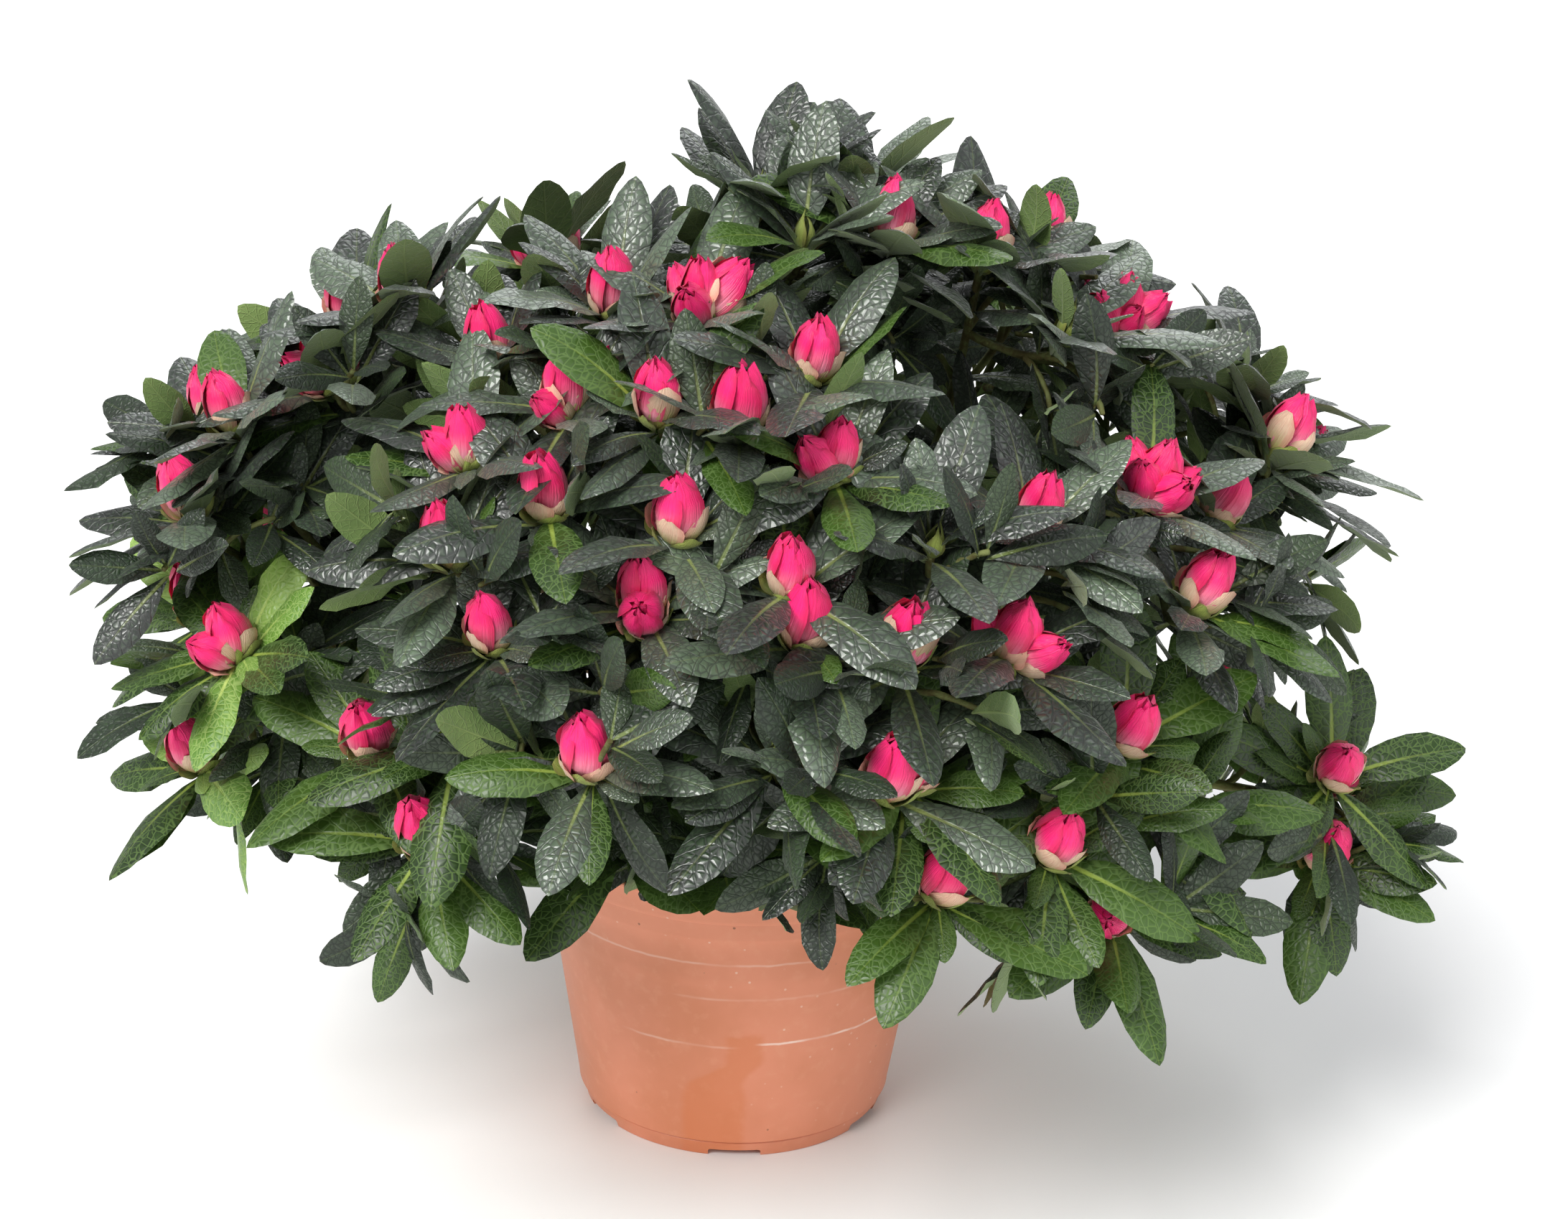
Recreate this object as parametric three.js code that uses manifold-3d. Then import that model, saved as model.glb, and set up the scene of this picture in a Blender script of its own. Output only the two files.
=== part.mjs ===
import * as THREE from "three";
import { mergeVertices } from "three/addons/utils/BufferGeometryUtils.js";
import Module from "manifold-3d";

const wasm = await Module();
wasm.setup();

// An azalea shrub in its nursery pot, in millimetres with +Z up. The front of the plant faces -Y.
// The origin is the middle of the pot's flat underside.
// A turn is an angle in degrees round the pot's axis, from the front towards the right (+X).

const GAP = 0.3;
const WELD = 1e-4;
const SMOOTH = 0.02;
const UP = new THREE.Vector3(0, 0, 1);

// Pot: a thin plastic pot with a stepped foot and a flared collar.
const POT_HEIGHT = 94;
const POT_RIM_RADIUS = 65;
const POT_WALL = 1.4;
const POT_FLOOR = 3.6;
const POT_FOOT_RADIUS = 46.6;
const POT_STEP_HEIGHT = 5.8;
const POT_STEP_RADIUS = 48.6;
const POT_STEP_DEPTH = 0.7;
const POT_WAIST_HEIGHT = 61;
const POT_WAIST_RADIUS = 57.4;
const POT_COLLAR_HEIGHT = 69;
const POT_COLLAR_RADIUS = 58.4;
const POT_LIP_HEIGHT = 1.6;
const POT_LIP_DEPTH = 0.8;
const POT_SIDES = 32;
const DRAIN_COUNT = 6;
const DRAIN_TURN = 2;
const DRAIN_WIDTH = 16;
const DRAIN_LENGTH = 15;
const DRAIN_HEIGHT = 2.3;
const DRAIN_HOLE_RADIUS = 3.2;
const DRAIN_HOLE_REACH = 37;
const DRAIN_HOLE_SIDES = 8;

// Root ball: peat that fills the pot to just under its rim, flat where the trunk stands.
const SOIL_HEIGHT = 88;
const SOIL_EDGE_HEIGHT = 85;
const SOIL_FLAT_RADIUS = 14;

// Trunk: a short leaning stem with a lobed root flare, hidden inside the crown.
const TRUNK_FOOT = SOIL_HEIGHT + GAP;
const TRUNK_HEAD = new THREE.Vector3(3, 1, 117);
const TRUNK_BASE_RADIUS = 7.2;
const TRUNK_HEAD_RADIUS = 5.2;
const TRUNK_FLARE = 4.2;
const TRUNK_FLARE_HEIGHT = 4;
const TRUNK_LOBES = 3;
const TRUNK_SIDES = 12;
const TRUNK_STEPS = 5;

// Boughs: main ones leave the trunk, side ones leave a main bough part of the way along it.
const BOUGH_SIDES = 4;
const BOUGH_STEPS = 3;
const MAIN_BASE_RADIUS = 2.7;
const MAIN_TIP_RADIUS = 1.6;
const SIDE_BASE_RADIUS = 2.1;
const SIDE_TIP_RADIUS = 1.4;
const BOUGH_REACH = 0.6;
const SIDE_START = 0.36;
const SIDE_SPACING = 0.13;
const LOW_LEAVE_HEIGHT = 97;
const HIGH_LEAVE_HEIGHT = 115;

// Crown: a broad low dome. Each mass of foliage is a few shoots on a ring about its middle.
const HEART = new THREE.Vector3(5, 0, 130);
const CROWN_LOW = 115;
const CROWN_HIGH = 295;
const DOME_RADIUS = 150;
const WHEEL_JITTER = 8;
const SPAN_JITTER = 0.12;

// Shoots: a three-sided twig that ends in a flower bud with a whorl of leaves at its foot.
const TWIG_SIDES = 3;
const STEM_RADIUS = 1.5;
const TWIG_RADIUS = 1.15;
const TWIG_ROOT_RADIUS = 0.7;
const TWIG_TIP_RADIUS = 0.95;
const TWIG_TRIES = 24;
const TWIG_STRAY = 1.2;
const TWIG_STEPS = 2;
const LEADER_STEPS = 3;
const BUD_LENGTH = 21;
const BUD_RADIUS = 7;
const BUD_SHOULDER = 0.48;
const BUD_SIDES = 5;
const NECK_LENGTH = 11;
const TWIG_SINK = 5;
const BUD_FOOT = 9;
const LEAF_BUD_LENGTH = 11;
const LEAF_BUD_RADIUS = 3.8;
const BUD_PUSHES = 5;
const BUD_PUSH = 4;
const CLUSTER_LEAN = 38;
const CLUSTER_LIMIT = 3;
const FLOWERING = 0.8;
const LEAVES_PER_SHOOT = 5;
const LEAF_LENGTH = 44;
const LEAF_WIDTH = 21;
const LEAF_WIDEST = 0.58;
const LEAF_THICKNESS = 1.6;
const LEAF_STEP = 0.8;
const LEAF_ROOT_REACH = 0.7;
const LEAF_TILT = 82;
const CREST_LIFT = 24;
const WHORL_TILT = 22;
const FACE_TURN = 18;
const CLEARANCE = 0.45;

// Masses: where the middle of each one lies (turn, distance out from the pot's axis, height), how
// many shoots it has, the radius of their ring and where on it the first one is (0 up the dome,
// 90 to the right), the flower buds on the first shoot, and the limb that its bough leaves from.
const MASSES = [
  { name: "crown_top", from: "right_crest", turn: 32, out: 39, up: 296, shoots: 4, span: 19, wheel: 140, buds: 1, flowering: 0.3, upright: 30 },
  { name: "front_upper", from: "trunk", turn: -5, out: 91, up: 267, shoots: 3, span: 23, wheel: 330, buds: 4 },
  { name: "left_upper", from: "front_upper", turn: -38, out: 86, up: 263, shoots: 3, span: 21, wheel: 130, buds: 3 },
  { name: "right_crest", from: "trunk", turn: 70, out: 90, up: 276, shoots: 4, span: 21, wheel: 150, buds: 6 },
  { name: "left_shoulder", from: "trunk", turn: -77, out: 116, up: 256, shoots: 3, span: 18, wheel: 150, buds: 3 },
  { name: "left_front", from: "left_shoulder", turn: -33, out: 126, up: 231, shoots: 3, span: 18, wheel: 315, buds: 2 },
  { name: "back_upper_left", from: "left_shoulder", turn: -128, out: 112, up: 239, shoots: 4, span: 31, wheel: 0, buds: 3 },
  { name: "far_left", from: "left_shoulder", turn: -77, out: 162, up: 217, shoots: 4, span: 19, wheel: 30, buds: 1 },
  { name: "front_centre", from: "front_upper", turn: 2, out: 119, up: 239, shoots: 4, span: 24, wheel: 70, buds: 2 },
  { name: "right_front", from: "right_mid", turn: 30, out: 136, up: 221, shoots: 3, span: 20, wheel: 180, buds: 3 },
  { name: "right_side", from: "right_crest", turn: 90, out: 156, up: 226, shoots: 3, span: 18, wheel: 270, buds: 1 },
  { name: "right_mid", from: "trunk", turn: 60, out: 143, up: 217, shoots: 3, span: 20, wheel: 330, buds: 6 },
  { name: "mid_left", from: "low_left", turn: -19, out: 141, up: 194, shoots: 3, span: 25, wheel: 40, buds: 2 },
  { name: "low_centre", from: "low_front", turn: -8, out: 102, up: 130, shoots: 2, span: 20, wheel: 90, buds: 0 },
  { name: "front_low", from: "low_front", turn: 11, out: 143, up: 190, shoots: 4, span: 22, wheel: 55, buds: 1 },
  { name: "left_spray", from: "low_left", turn: -70, out: 168, up: 161, shoots: 3, span: 27, wheel: 60, buds: 2 },
  { name: "low_left", from: "trunk", turn: -37, out: 149, up: 157, shoots: 3, span: 17, wheel: 285, buds: 1 },
  { name: "low_front", from: "trunk", turn: 20, out: 150, up: 156, shoots: 2, span: 17, wheel: 160, buds: 1 },
  { name: "low_right", from: "right_mid", turn: 43, out: 158, up: 147, shoots: 4, span: 25, wheel: 180, buds: 2 },
  { name: "right_spray", from: "trunk", turn: 78, out: 187, up: 123, shoots: 3, span: 16, wheel: 205, buds: 1 },
  { name: "back_crest", from: "back_mid", turn: 178, out: 62, up: 258, shoots: 4, span: 26, wheel: 20, buds: 2 },
  { name: "back_upper_right", from: "right_crest", turn: 128, out: 114, up: 247, shoots: 4, span: 31, wheel: 40, buds: 3 },
  { name: "back_left", from: "trunk", turn: -117, out: 156, up: 200, shoots: 4, span: 33, wheel: 15, buds: 2 },
  { name: "back_mid", from: "trunk", turn: 180, out: 146, up: 212, shoots: 4, span: 34, wheel: 30, buds: 4 },
  { name: "back_right", from: "trunk", turn: 119, out: 160, up: 202, shoots: 4, span: 33, wheel: 55, buds: 2 },
  { name: "back_low_left", from: "back_left", turn: -107, out: 150, up: 142, shoots: 5, span: 38, wheel: 45, buds: 1 },
  { name: "back_low", from: "back_mid", turn: 178, out: 158, up: 146, shoots: 6, span: 46, wheel: 20, buds: 1 },
  { name: "back_low_right", from: "back_right", turn: 119, out: 158, up: 143, shoots: 5, span: 40, wheel: 20, buds: 1 },
];

function degrees(angle) {
  return THREE.MathUtils.degToRad(angle);
}

// A repeatable dice: each call gives the next number from 0 to 1.
function makeDice(seed) {
  let state = seed >>> 0;
  return () => {
    state = (Math.imul(state, 1664525) + 1013904223) >>> 0;
    return state / 4294967296;
  };
}

function jitter(dice, amount) {
  return (dice() * 2 - 1) * amount;
}

function mix(from, to, share) {
  return from.clone().lerp(to, share);
}

// Solids

function signedVolume(position, triangles) {
  const a = new THREE.Vector3();
  const b = new THREE.Vector3();
  const c = new THREE.Vector3();
  let sum = 0;
  for (let i = 0; i < triangles.length; i += 3) {
    a.fromBufferAttribute(position, triangles[i]);
    b.fromBufferAttribute(position, triangles[i + 1]);
    c.fromBufferAttribute(position, triangles[i + 2]);
    sum += a.dot(b.cross(c));
  }
  return sum;
}

function solidOf(geometry) {
  const bare = geometry.clone();
  bare.deleteAttribute("normal");
  bare.deleteAttribute("uv");
  const merged = mergeVertices(bare, WELD);
  const index = merged.getIndex().array;
  const triangles = [];
  for (let i = 0; i < index.length; i += 3) {
    const corners = [index[i], index[i + 1], index[i + 2]];
    if (new Set(corners).size === 3) triangles.push(...corners);
  }
  const position = merged.getAttribute("position");
  if (signedVolume(position, triangles) < 0) triangles.reverse();
  const mesh = new wasm.Mesh({
    numProp: 3,
    vertProperties: new Float32Array(position.array),
    triVerts: new Uint32Array(triangles),
  });
  return new wasm.Manifold(mesh);
}

function geometryOf(solid) {
  const mesh = solid.getMesh();
  const geometry = new THREE.BufferGeometry();
  geometry.setAttribute("position", new THREE.BufferAttribute(mesh.vertProperties, 3));
  geometry.setIndex(new THREE.BufferAttribute(mesh.triVerts, 1));
  geometry.computeVertexNormals();
  return geometry;
}

// The largest body of a solid: loose scraps are dropped and sealed hollows are filled.
function wholeBody(solid) {
  return solid.decompose().reduce((best, piece) => (piece.volume() > best.volume() ? piece : best));
}

function joined(solids) {
  return wholeBody(wasm.Manifold.union(solids)).simplify(SMOOTH);
}

// A cylinder bent along a curve, with a radius that may change along it and round it.
function bentTube(curve, radiusAt, sides, steps) {
  const tube = new THREE.CylinderGeometry(1, 1, 1, sides, steps);
  const position = tube.getAttribute("position");
  const start = curve.getTangent(0);
  const aside = Math.abs(start.z) > 0.8 ? new THREE.Vector3(0, -1, 0) : UP;
  const spot = new THREE.Vector3();
  for (let i = 0; i < position.count; i += 1) {
    spot.fromBufferAttribute(position, i);
    const along = spot.y + 0.5;
    const middle = curve.getPoint(along);
    const forward = curve.getTangent(along);
    const right = new THREE.Vector3().crossVectors(forward, aside).normalize();
    const out = new THREE.Vector3().crossVectors(right, forward);
    const radius = radiusAt(along, Math.atan2(spot.z, spot.x));
    middle.addScaledVector(right, spot.x * radius).addScaledVector(out, spot.z * radius);
    position.setXYZ(i, middle.x, middle.y, middle.z);
  }
  return tube;
}

function tapered(curve, startRadius, endRadius, sides, steps) {
  return solidOf(bentTube(curve, (along) => startRadius + (endRadius - startRadius) * along, sides, steps));
}

// Pot and root ball

function collarRadius(height) {
  const share = (height - POT_COLLAR_HEIGHT) / (POT_HEIGHT - POT_COLLAR_HEIGHT);
  const lipRadius = POT_RIM_RADIUS - POT_LIP_DEPTH;
  return POT_COLLAR_RADIUS + (lipRadius - POT_COLLAR_RADIUS) * (0.7 * share + 0.3 * share * share);
}

function outerProfile() {
  const lipFoot = POT_HEIGHT - POT_LIP_HEIGHT;
  return [
    new THREE.Vector2(POT_FOOT_RADIUS, 0),
    new THREE.Vector2(POT_STEP_RADIUS - POT_STEP_DEPTH, POT_STEP_HEIGHT - 0.4),
    new THREE.Vector2(POT_STEP_RADIUS, POT_STEP_HEIGHT + 0.2),
    new THREE.Vector2(POT_WAIST_RADIUS, POT_WAIST_HEIGHT),
    new THREE.Vector2(POT_COLLAR_RADIUS, POT_COLLAR_HEIGHT),
    new THREE.Vector2(collarRadius(lipFoot), lipFoot),
    new THREE.Vector2(POT_RIM_RADIUS, lipFoot + 0.5),
    new THREE.Vector2(POT_RIM_RADIUS, POT_HEIGHT),
  ];
}

function innerProfile(inset, top) {
  const floorRadius = POT_STEP_RADIUS - inset;
  return [
    new THREE.Vector2(collarRadius(top) - inset, top),
    new THREE.Vector2(POT_COLLAR_RADIUS - inset, POT_COLLAR_HEIGHT),
    new THREE.Vector2(POT_WAIST_RADIUS - inset, POT_WAIST_HEIGHT),
    new THREE.Vector2(floorRadius, POT_STEP_HEIGHT),
    new THREE.Vector2(floorRadius - 1.5, POT_FLOOR + inset - POT_WALL),
  ];
}

function drainCut(number) {
  const turn = degrees(DRAIN_TURN + (number * 360) / DRAIN_COUNT);
  const channel = new THREE.BoxGeometry(DRAIN_WIDTH, DRAIN_LENGTH, DRAIN_HEIGHT * 2);
  channel.translate(0, -(POT_FOOT_RADIUS - DRAIN_LENGTH / 2 + 2), 0);
  channel.rotateZ(turn);
  const hole = new THREE.CylinderGeometry(DRAIN_HOLE_RADIUS, DRAIN_HOLE_RADIUS, POT_FLOOR * 4, DRAIN_HOLE_SIDES);
  hole.rotateX(Math.PI / 2);
  hole.translate(0, -DRAIN_HOLE_REACH, 0);
  hole.rotateZ(turn);
  return solidOf(channel).add(solidOf(hole));
}

function makePot() {
  const profile = [new THREE.Vector2(0, 0), ...outerProfile(), ...innerProfile(POT_WALL, POT_HEIGHT)];
  profile.push(new THREE.Vector2(0, POT_FLOOR));
  const shell = new THREE.LatheGeometry(profile, POT_SIDES);
  shell.rotateX(Math.PI / 2);
  let pot = solidOf(shell);
  for (let number = 0; number < DRAIN_COUNT; number += 1) pot = pot.subtract(drainCut(number));
  return pot;
}

function makeRootBall() {
  const profile = innerProfile(POT_WALL + GAP, SOIL_EDGE_HEIGHT).reverse();
  profile.unshift(new THREE.Vector2(0, POT_FLOOR + GAP));
  profile.push(new THREE.Vector2(SOIL_FLAT_RADIUS * 2.4, SOIL_HEIGHT - 1));
  profile.push(new THREE.Vector2(SOIL_FLAT_RADIUS, SOIL_HEIGHT));
  profile.push(new THREE.Vector2(0, SOIL_HEIGHT));
  const peat = new THREE.LatheGeometry(profile, POT_SIDES);
  peat.rotateX(Math.PI / 2);
  return solidOf(peat);
}

// Trunk and boughs

const TRUNK_CURVE = new THREE.QuadraticBezierCurve3(
  new THREE.Vector3(0, 0, TRUNK_FOOT),
  new THREE.Vector3(0, 0, (TRUNK_FOOT + TRUNK_HEAD.z) / 2),
  TRUNK_HEAD,
);

function makeTrunk(extra) {
  const height = TRUNK_HEAD.z - TRUNK_FOOT;
  const curve = TRUNK_CURVE.clone();
  curve.v2 = TRUNK_HEAD.clone().addScaledVector(UP, extra);
  const radiusAt = (along, angle) => {
    const lobe = 0.75 + 0.25 * Math.cos(TRUNK_LOBES * angle);
    const flare = TRUNK_FLARE * lobe * Math.exp((-along * height) / TRUNK_FLARE_HEIGHT);
    return TRUNK_BASE_RADIUS + (TRUNK_HEAD_RADIUS - TRUNK_BASE_RADIUS) * along + flare + extra;
  };
  return solidOf(bentTube(curve, radiusAt, TRUNK_SIDES, TRUNK_STEPS));
}

function outward(turn) {
  return new THREE.Vector3(Math.sin(degrees(turn)), -Math.cos(degrees(turn)), 0);
}

function middleOf(mass) {
  return outward(mass.turn).multiplyScalar(mass.out).setZ(mass.up);
}

function massNamed(name) {
  return MASSES.find((mass) => mass.name === name);
}

// The route of a bough, from inside the limb that carries it to where it enters its mass.
function boughCurve(mass) {
  const middle = middleOf(mass);
  const rise = (mass.up - CROWN_LOW) / (CROWN_HIGH - CROWN_LOW);
  const isMain = mass.from === "trunk";
  const leave = LOW_LEAVE_HEIGHT + (HIGH_LEAVE_HEIGHT - LOW_LEAVE_HEIGHT) * rise;
  const trunkShare = (leave - TRUNK_FOOT) / (TRUNK_HEAD.z - TRUNK_FOOT);
  const parent = isMain ? TRUNK_CURVE : boughCurve(massNamed(mass.from));
  const siblings = MASSES.filter((other) => other.from === mass.from);
  const share = isMain ? trunkShare : SIDE_START + SIDE_SPACING * siblings.indexOf(mass);
  const start = parent.getPoint(share);
  const tip = mix(TRUNK_HEAD, middle, BOUGH_REACH);
  const run = start.distanceTo(tip);
  const heading = isMain ? outward(mass.turn).addScaledVector(UP, 0.15 + rise) : parent.getTangent(share);
  const bend = start.clone().addScaledVector(heading.normalize(), run * (isMain ? 0.45 : 0.25));
  return new THREE.QuadraticBezierCurve3(start, bend, tip);
}

function boughBody(mass, extra) {
  const isMain = mass.from === "trunk";
  const base = isMain ? MAIN_BASE_RADIUS : SIDE_BASE_RADIUS;
  const tip = isMain ? MAIN_TIP_RADIUS : SIDE_TIP_RADIUS;
  return tapered(boughCurve(mass), base + extra, tip + extra, BOUGH_SIDES, BOUGH_STEPS);
}

function makeBough(mass) {
  const carrier = mass.from === "trunk" ? makeTrunk(GAP) : boughBody(massNamed(mass.from), GAP);
  return wholeBody(boughBody(mass, 0).subtract(carrier)).simplify(SMOOTH);
}

// Shoots

function makeShoots(mass, number) {
  const middle = middleOf(mass);
  const normal = middle.clone().sub(HEART).normalize();
  const side = new THREE.Vector3().crossVectors(UP, normal).normalize();
  const slope = new THREE.Vector3().crossVectors(normal, side);
  const shoots = [];
  for (let k = 0; k < mass.shoots; k += 1) {
    const dice = makeDice(1000 + number * 131 + k * 17);
    dice();
    const angle = degrees(mass.wheel + (360 * k) / mass.shoots + jitter(dice, WHEEL_JITTER));
    const reach = mass.span * (1 + jitter(dice, SPAN_JITTER));
    const spot = middle.clone();
    spot.addScaledVector(side, Math.sin(angle) * reach);
    spot.addScaledVector(slope, Math.cos(angle) * reach);
    spot.addScaledVector(normal, (-reach * reach) / (2 * DOME_RADIUS));
    const facing = spot.clone().sub(HEART).normalize();
    const budAxis = UP.clone().addScaledVector(facing, 0.6).normalize();
    const foot = spot.clone().addScaledVector(budAxis, -BUD_FOOT);
    const flowers = dice() < (mass.flowering ?? FLOWERING) ? 1 : 0;
    const buds = k === 0 ? mass.buds : Math.min(mass.buds, flowers);
    const upright = buds === 0 ? mass.upright ?? 0 : 0;
    shoots.push({ foot, budAxis, facing, upright, buds, dice, spin: dice() * 360, pieces: [] });
  }
  return shoots;
}

function spindle(length, radius, extra) {
  const profile = [
    new THREE.Vector2(0, -NECK_LENGTH - extra),
    new THREE.Vector2(radius + extra, BUD_SHOULDER * length),
    new THREE.Vector2(0, length + extra),
  ];
  const body = new THREE.LatheGeometry(profile, BUD_SIDES);
  body.rotateX(Math.PI / 2);
  return body;
}

function aimed(geometry, foot, axis, spin) {
  const turn = new THREE.Quaternion().setFromUnitVectors(UP, axis);
  return geometry.rotateZ(degrees(spin)).applyQuaternion(turn).translate(foot.x, foot.y, foot.z);
}

function budAxes(shoot) {
  const across = new THREE.Vector3().crossVectors(shoot.budAxis, UP).normalize();
  const axes = [shoot.budAxis];
  const extraBuds = Math.min(shoot.buds, CLUSTER_LIMIT) - 1;
  for (let k = 0; k < extraBuds; k += 1) {
    const lean = across.clone().applyAxisAngle(shoot.budAxis, degrees(shoot.spin + (360 * k) / extraBuds));
    axes.push(shoot.budAxis.clone().applyAxisAngle(lean, degrees(CLUSTER_LEAN)));
  }
  return axes;
}

function budSolids(shoot, extra) {
  if (shoot.buds === 0) {
    const leafBud = spindle(LEAF_BUD_LENGTH, LEAF_BUD_RADIUS, extra);
    return [solidOf(aimed(leafBud, shoot.foot, shoot.budAxis, shoot.spin))];
  }
  const size = shoot.buds > 1 ? 0.9 : 1;
  return budAxes(shoot).map((axis) => {
    const bud = spindle(BUD_LENGTH * size, BUD_RADIUS * size, extra);
    return solidOf(aimed(bud, shoot.foot, axis, shoot.spin));
  });
}

// A leaf: a sphere of only five corners, stretched to the leaf's root, tip, two edges and raised
// midrib. The flat underside is folded across its widest place, so the tip hangs.
function leafSolid(leaf, extra) {
  const blade = new THREE.SphereGeometry(1, 3, 2);
  const position = blade.getAttribute("position");
  const upper = leaf.axis.clone().addScaledVector(leaf.along, -leaf.axis.dot(leaf.along)).normalize();
  const across = new THREE.Vector3().crossVectors(leaf.along, upper);
  const widest = leaf.length * LEAF_WIDEST;
  for (let i = 0; i < position.count; i += 1) {
    const corner = new THREE.Vector3().fromBufferAttribute(position, i);
    const beyond = corner.y > 0 ? leaf.length - widest : widest;
    const spot = leaf.root.clone().addScaledVector(leaf.along, widest + corner.y * (beyond + extra));
    spot.addScaledVector(across, Math.sign(Math.round(corner.z)) * (leaf.width / 2 + extra));
    const isRib = corner.x < -0.5;
    const arch = corner.y > 0.5 ? -leaf.droop : 0;
    spot.addScaledVector(upper, isRib ? LEAF_THICKNESS + extra : arch - extra);
    position.setXYZ(i, spot.x, spot.y, spot.z);
  }
  return solidOf(blade);
}

function makeLeaf(shoot, k, shorter, lift) {
  const turn = degrees(shoot.spin + FACE_TURN + (360 * k) / LEAVES_PER_SHOOT + shoot.leafJitter[k]);
  const ray = new THREE.Vector3(Math.cos(turn), Math.sin(turn), 0);
  ray.applyQuaternion(new THREE.Quaternion().setFromUnitVectors(UP, shoot.budAxis));
  const upright = k === 0 ? shoot.upright : 0;
  const spread = LEAF_TILT - CREST_LIFT * shoot.facing.z + WHORL_TILT * ray.dot(shoot.facing);
  const tilt = degrees(spread + shoot.leafTilt[k] - lift - upright);
  const root = shoot.foot.clone().addScaledVector(shoot.budAxis, -LEAF_STEP * (k + 0.5));
  root.addScaledVector(ray, LEAF_ROOT_REACH);
  const along = ray.multiplyScalar(Math.sin(tilt)).addScaledVector(shoot.budAxis, Math.cos(tilt));
  const size = shoot.leafSize[k] * shorter;
  const droop = LEAF_LENGTH * size * 0.12;
  return { root, along, axis: shoot.budAxis, length: LEAF_LENGTH * size, width: LEAF_WIDTH * size, droop };
}

// Space that is taken: a new piece has to stay clear of what other shoots and limbs hold.

const taken = [];

function boxesMeet(a, b) {
  return [0, 1, 2].every((i) => a.min[i] <= b.max[i] && b.min[i] <= a.max[i]);
}

function isClear(solid, owners) {
  const box = solid.boundingBox();
  return taken.every((other) => {
    if (owners.includes(other.owner) || !boxesMeet(box, other.box)) return true;
    return solid.intersect(other.solid).isEmpty();
  });
}

function take(solid, owner) {
  taken.push({ solid, owner, box: solid.boundingBox() });
}

// Twigs: a leader runs from the bough's tip to the furthest shoot, and the others leave its sides.

function stemStart(mass) {
  const curve = boughCurve(mass);
  const heading = curve.getTangent(1);
  return { start: curve.getPoint(1).addScaledVector(heading, GAP), heading };
}

function twigEnd(shoot) {
  return shoot.foot.clone().addScaledVector(shoot.budAxis, -TWIG_SINK);
}

// A twig that finds a clear way: its bend is moved a little until it touches nothing.
function clearTwig(curveFor, radius, steps, owners, dice) {
  for (let attempt = 0; attempt < TWIG_TRIES; attempt += 1) {
    const stray = attempt * TWIG_STRAY;
    const shift = new THREE.Vector3(jitter(dice, stray), jitter(dice, stray), jitter(dice, stray));
    const curve = curveFor(shift);
    const fat = tapered(curve, radius + CLEARANCE, TWIG_TIP_RADIUS + CLEARANCE, TWIG_SIDES, steps);
    if (isClear(fat, owners)) return curve;
  }
  return null;
}

// A side twig starts narrow, inside the leader that carries it.
function sideTwig(curve) {
  const radiusAt = (along) => {
    if (along === 0) return TWIG_ROOT_RADIUS;
    return TWIG_RADIUS + (TWIG_TIP_RADIUS - TWIG_RADIUS) * along;
  };
  return solidOf(bentTube(curve, radiusAt, TWIG_SIDES, TWIG_STEPS));
}

function makeStem(mass, shoots, dice) {
  const { start, heading } = stemStart(mass);
  const label = stemLabel(mass);
  const inOrder = [...shoots].sort((a, b) => b.foot.distanceTo(start) - a.foot.distanceTo(start));
  const leader = inOrder[0];
  const run = leader.foot.distanceTo(start);
  const leaderCurve = clearTwig((shift) => {
    const first = start.clone().addScaledVector(heading, run * 0.35);
    const last = leader.foot.clone().addScaledVector(leader.budAxis, -run * 0.3).add(shift);
    return new THREE.CubicBezierCurve3(start, first, last, twigEnd(leader));
  }, STEM_RADIUS, LEADER_STEPS, [label, leader.label, `bough_${mass.name}`], dice);
  shoots.forEach((shoot) => {
    shoot.twigOwner = shoot === leader ? label : `${shoot.label}_twig`;
  });
  const ownTwigs = shoots.map((shoot) => shoot.twigOwner);
  const pieces = [tapered(leaderCurve, STEM_RADIUS, TWIG_TIP_RADIUS, TWIG_SIDES, LEADER_STEPS)];
  take(pieces[0], label);
  inOrder.slice(1).forEach((shoot, k) => {
    const ring = LEADER_STEPS - 1 - (k % (LEADER_STEPS - 1));
    const fork = leaderCurve.getPoint(ring / LEADER_STEPS);
    const reach = fork.distanceTo(shoot.foot);
    const curve = clearTwig((shift) => {
      const bend = shoot.foot.clone().addScaledVector(shoot.budAxis, -reach * 0.45).add(shift);
      return new THREE.QuadraticBezierCurve3(fork, bend, twigEnd(shoot));
    }, TWIG_RADIUS, TWIG_STEPS, [shoot.label, ...ownTwigs], dice);
    shoot.grown = curve !== null;
    if (shoot.grown) {
      const twig = sideTwig(curve);
      pieces.push(twig);
      take(twig, shoot.twigOwner);
    }
  });
  return pieces;
}

function stemLabel(mass) {
  return `${mass.name}_stem`;
}

// A bud that would touch another is pushed outwards a little, and left out if that doesn't help.
function growBuds(shoot) {
  for (let push = 0; push < BUD_PUSHES && !shoot.grown; push += 1) {
    shoot.grown = budSolids(shoot, CLEARANCE).every((bud) => isClear(bud, [shoot.label]));
    if (!shoot.grown) shoot.foot.addScaledVector(shoot.facing, BUD_PUSH);
  }
  if (shoot.grown) {
    shoot.pieces = budSolids(shoot, 0);
    shoot.pieces.forEach((bud) => take(bud, shoot.label));
  }
}

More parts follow.
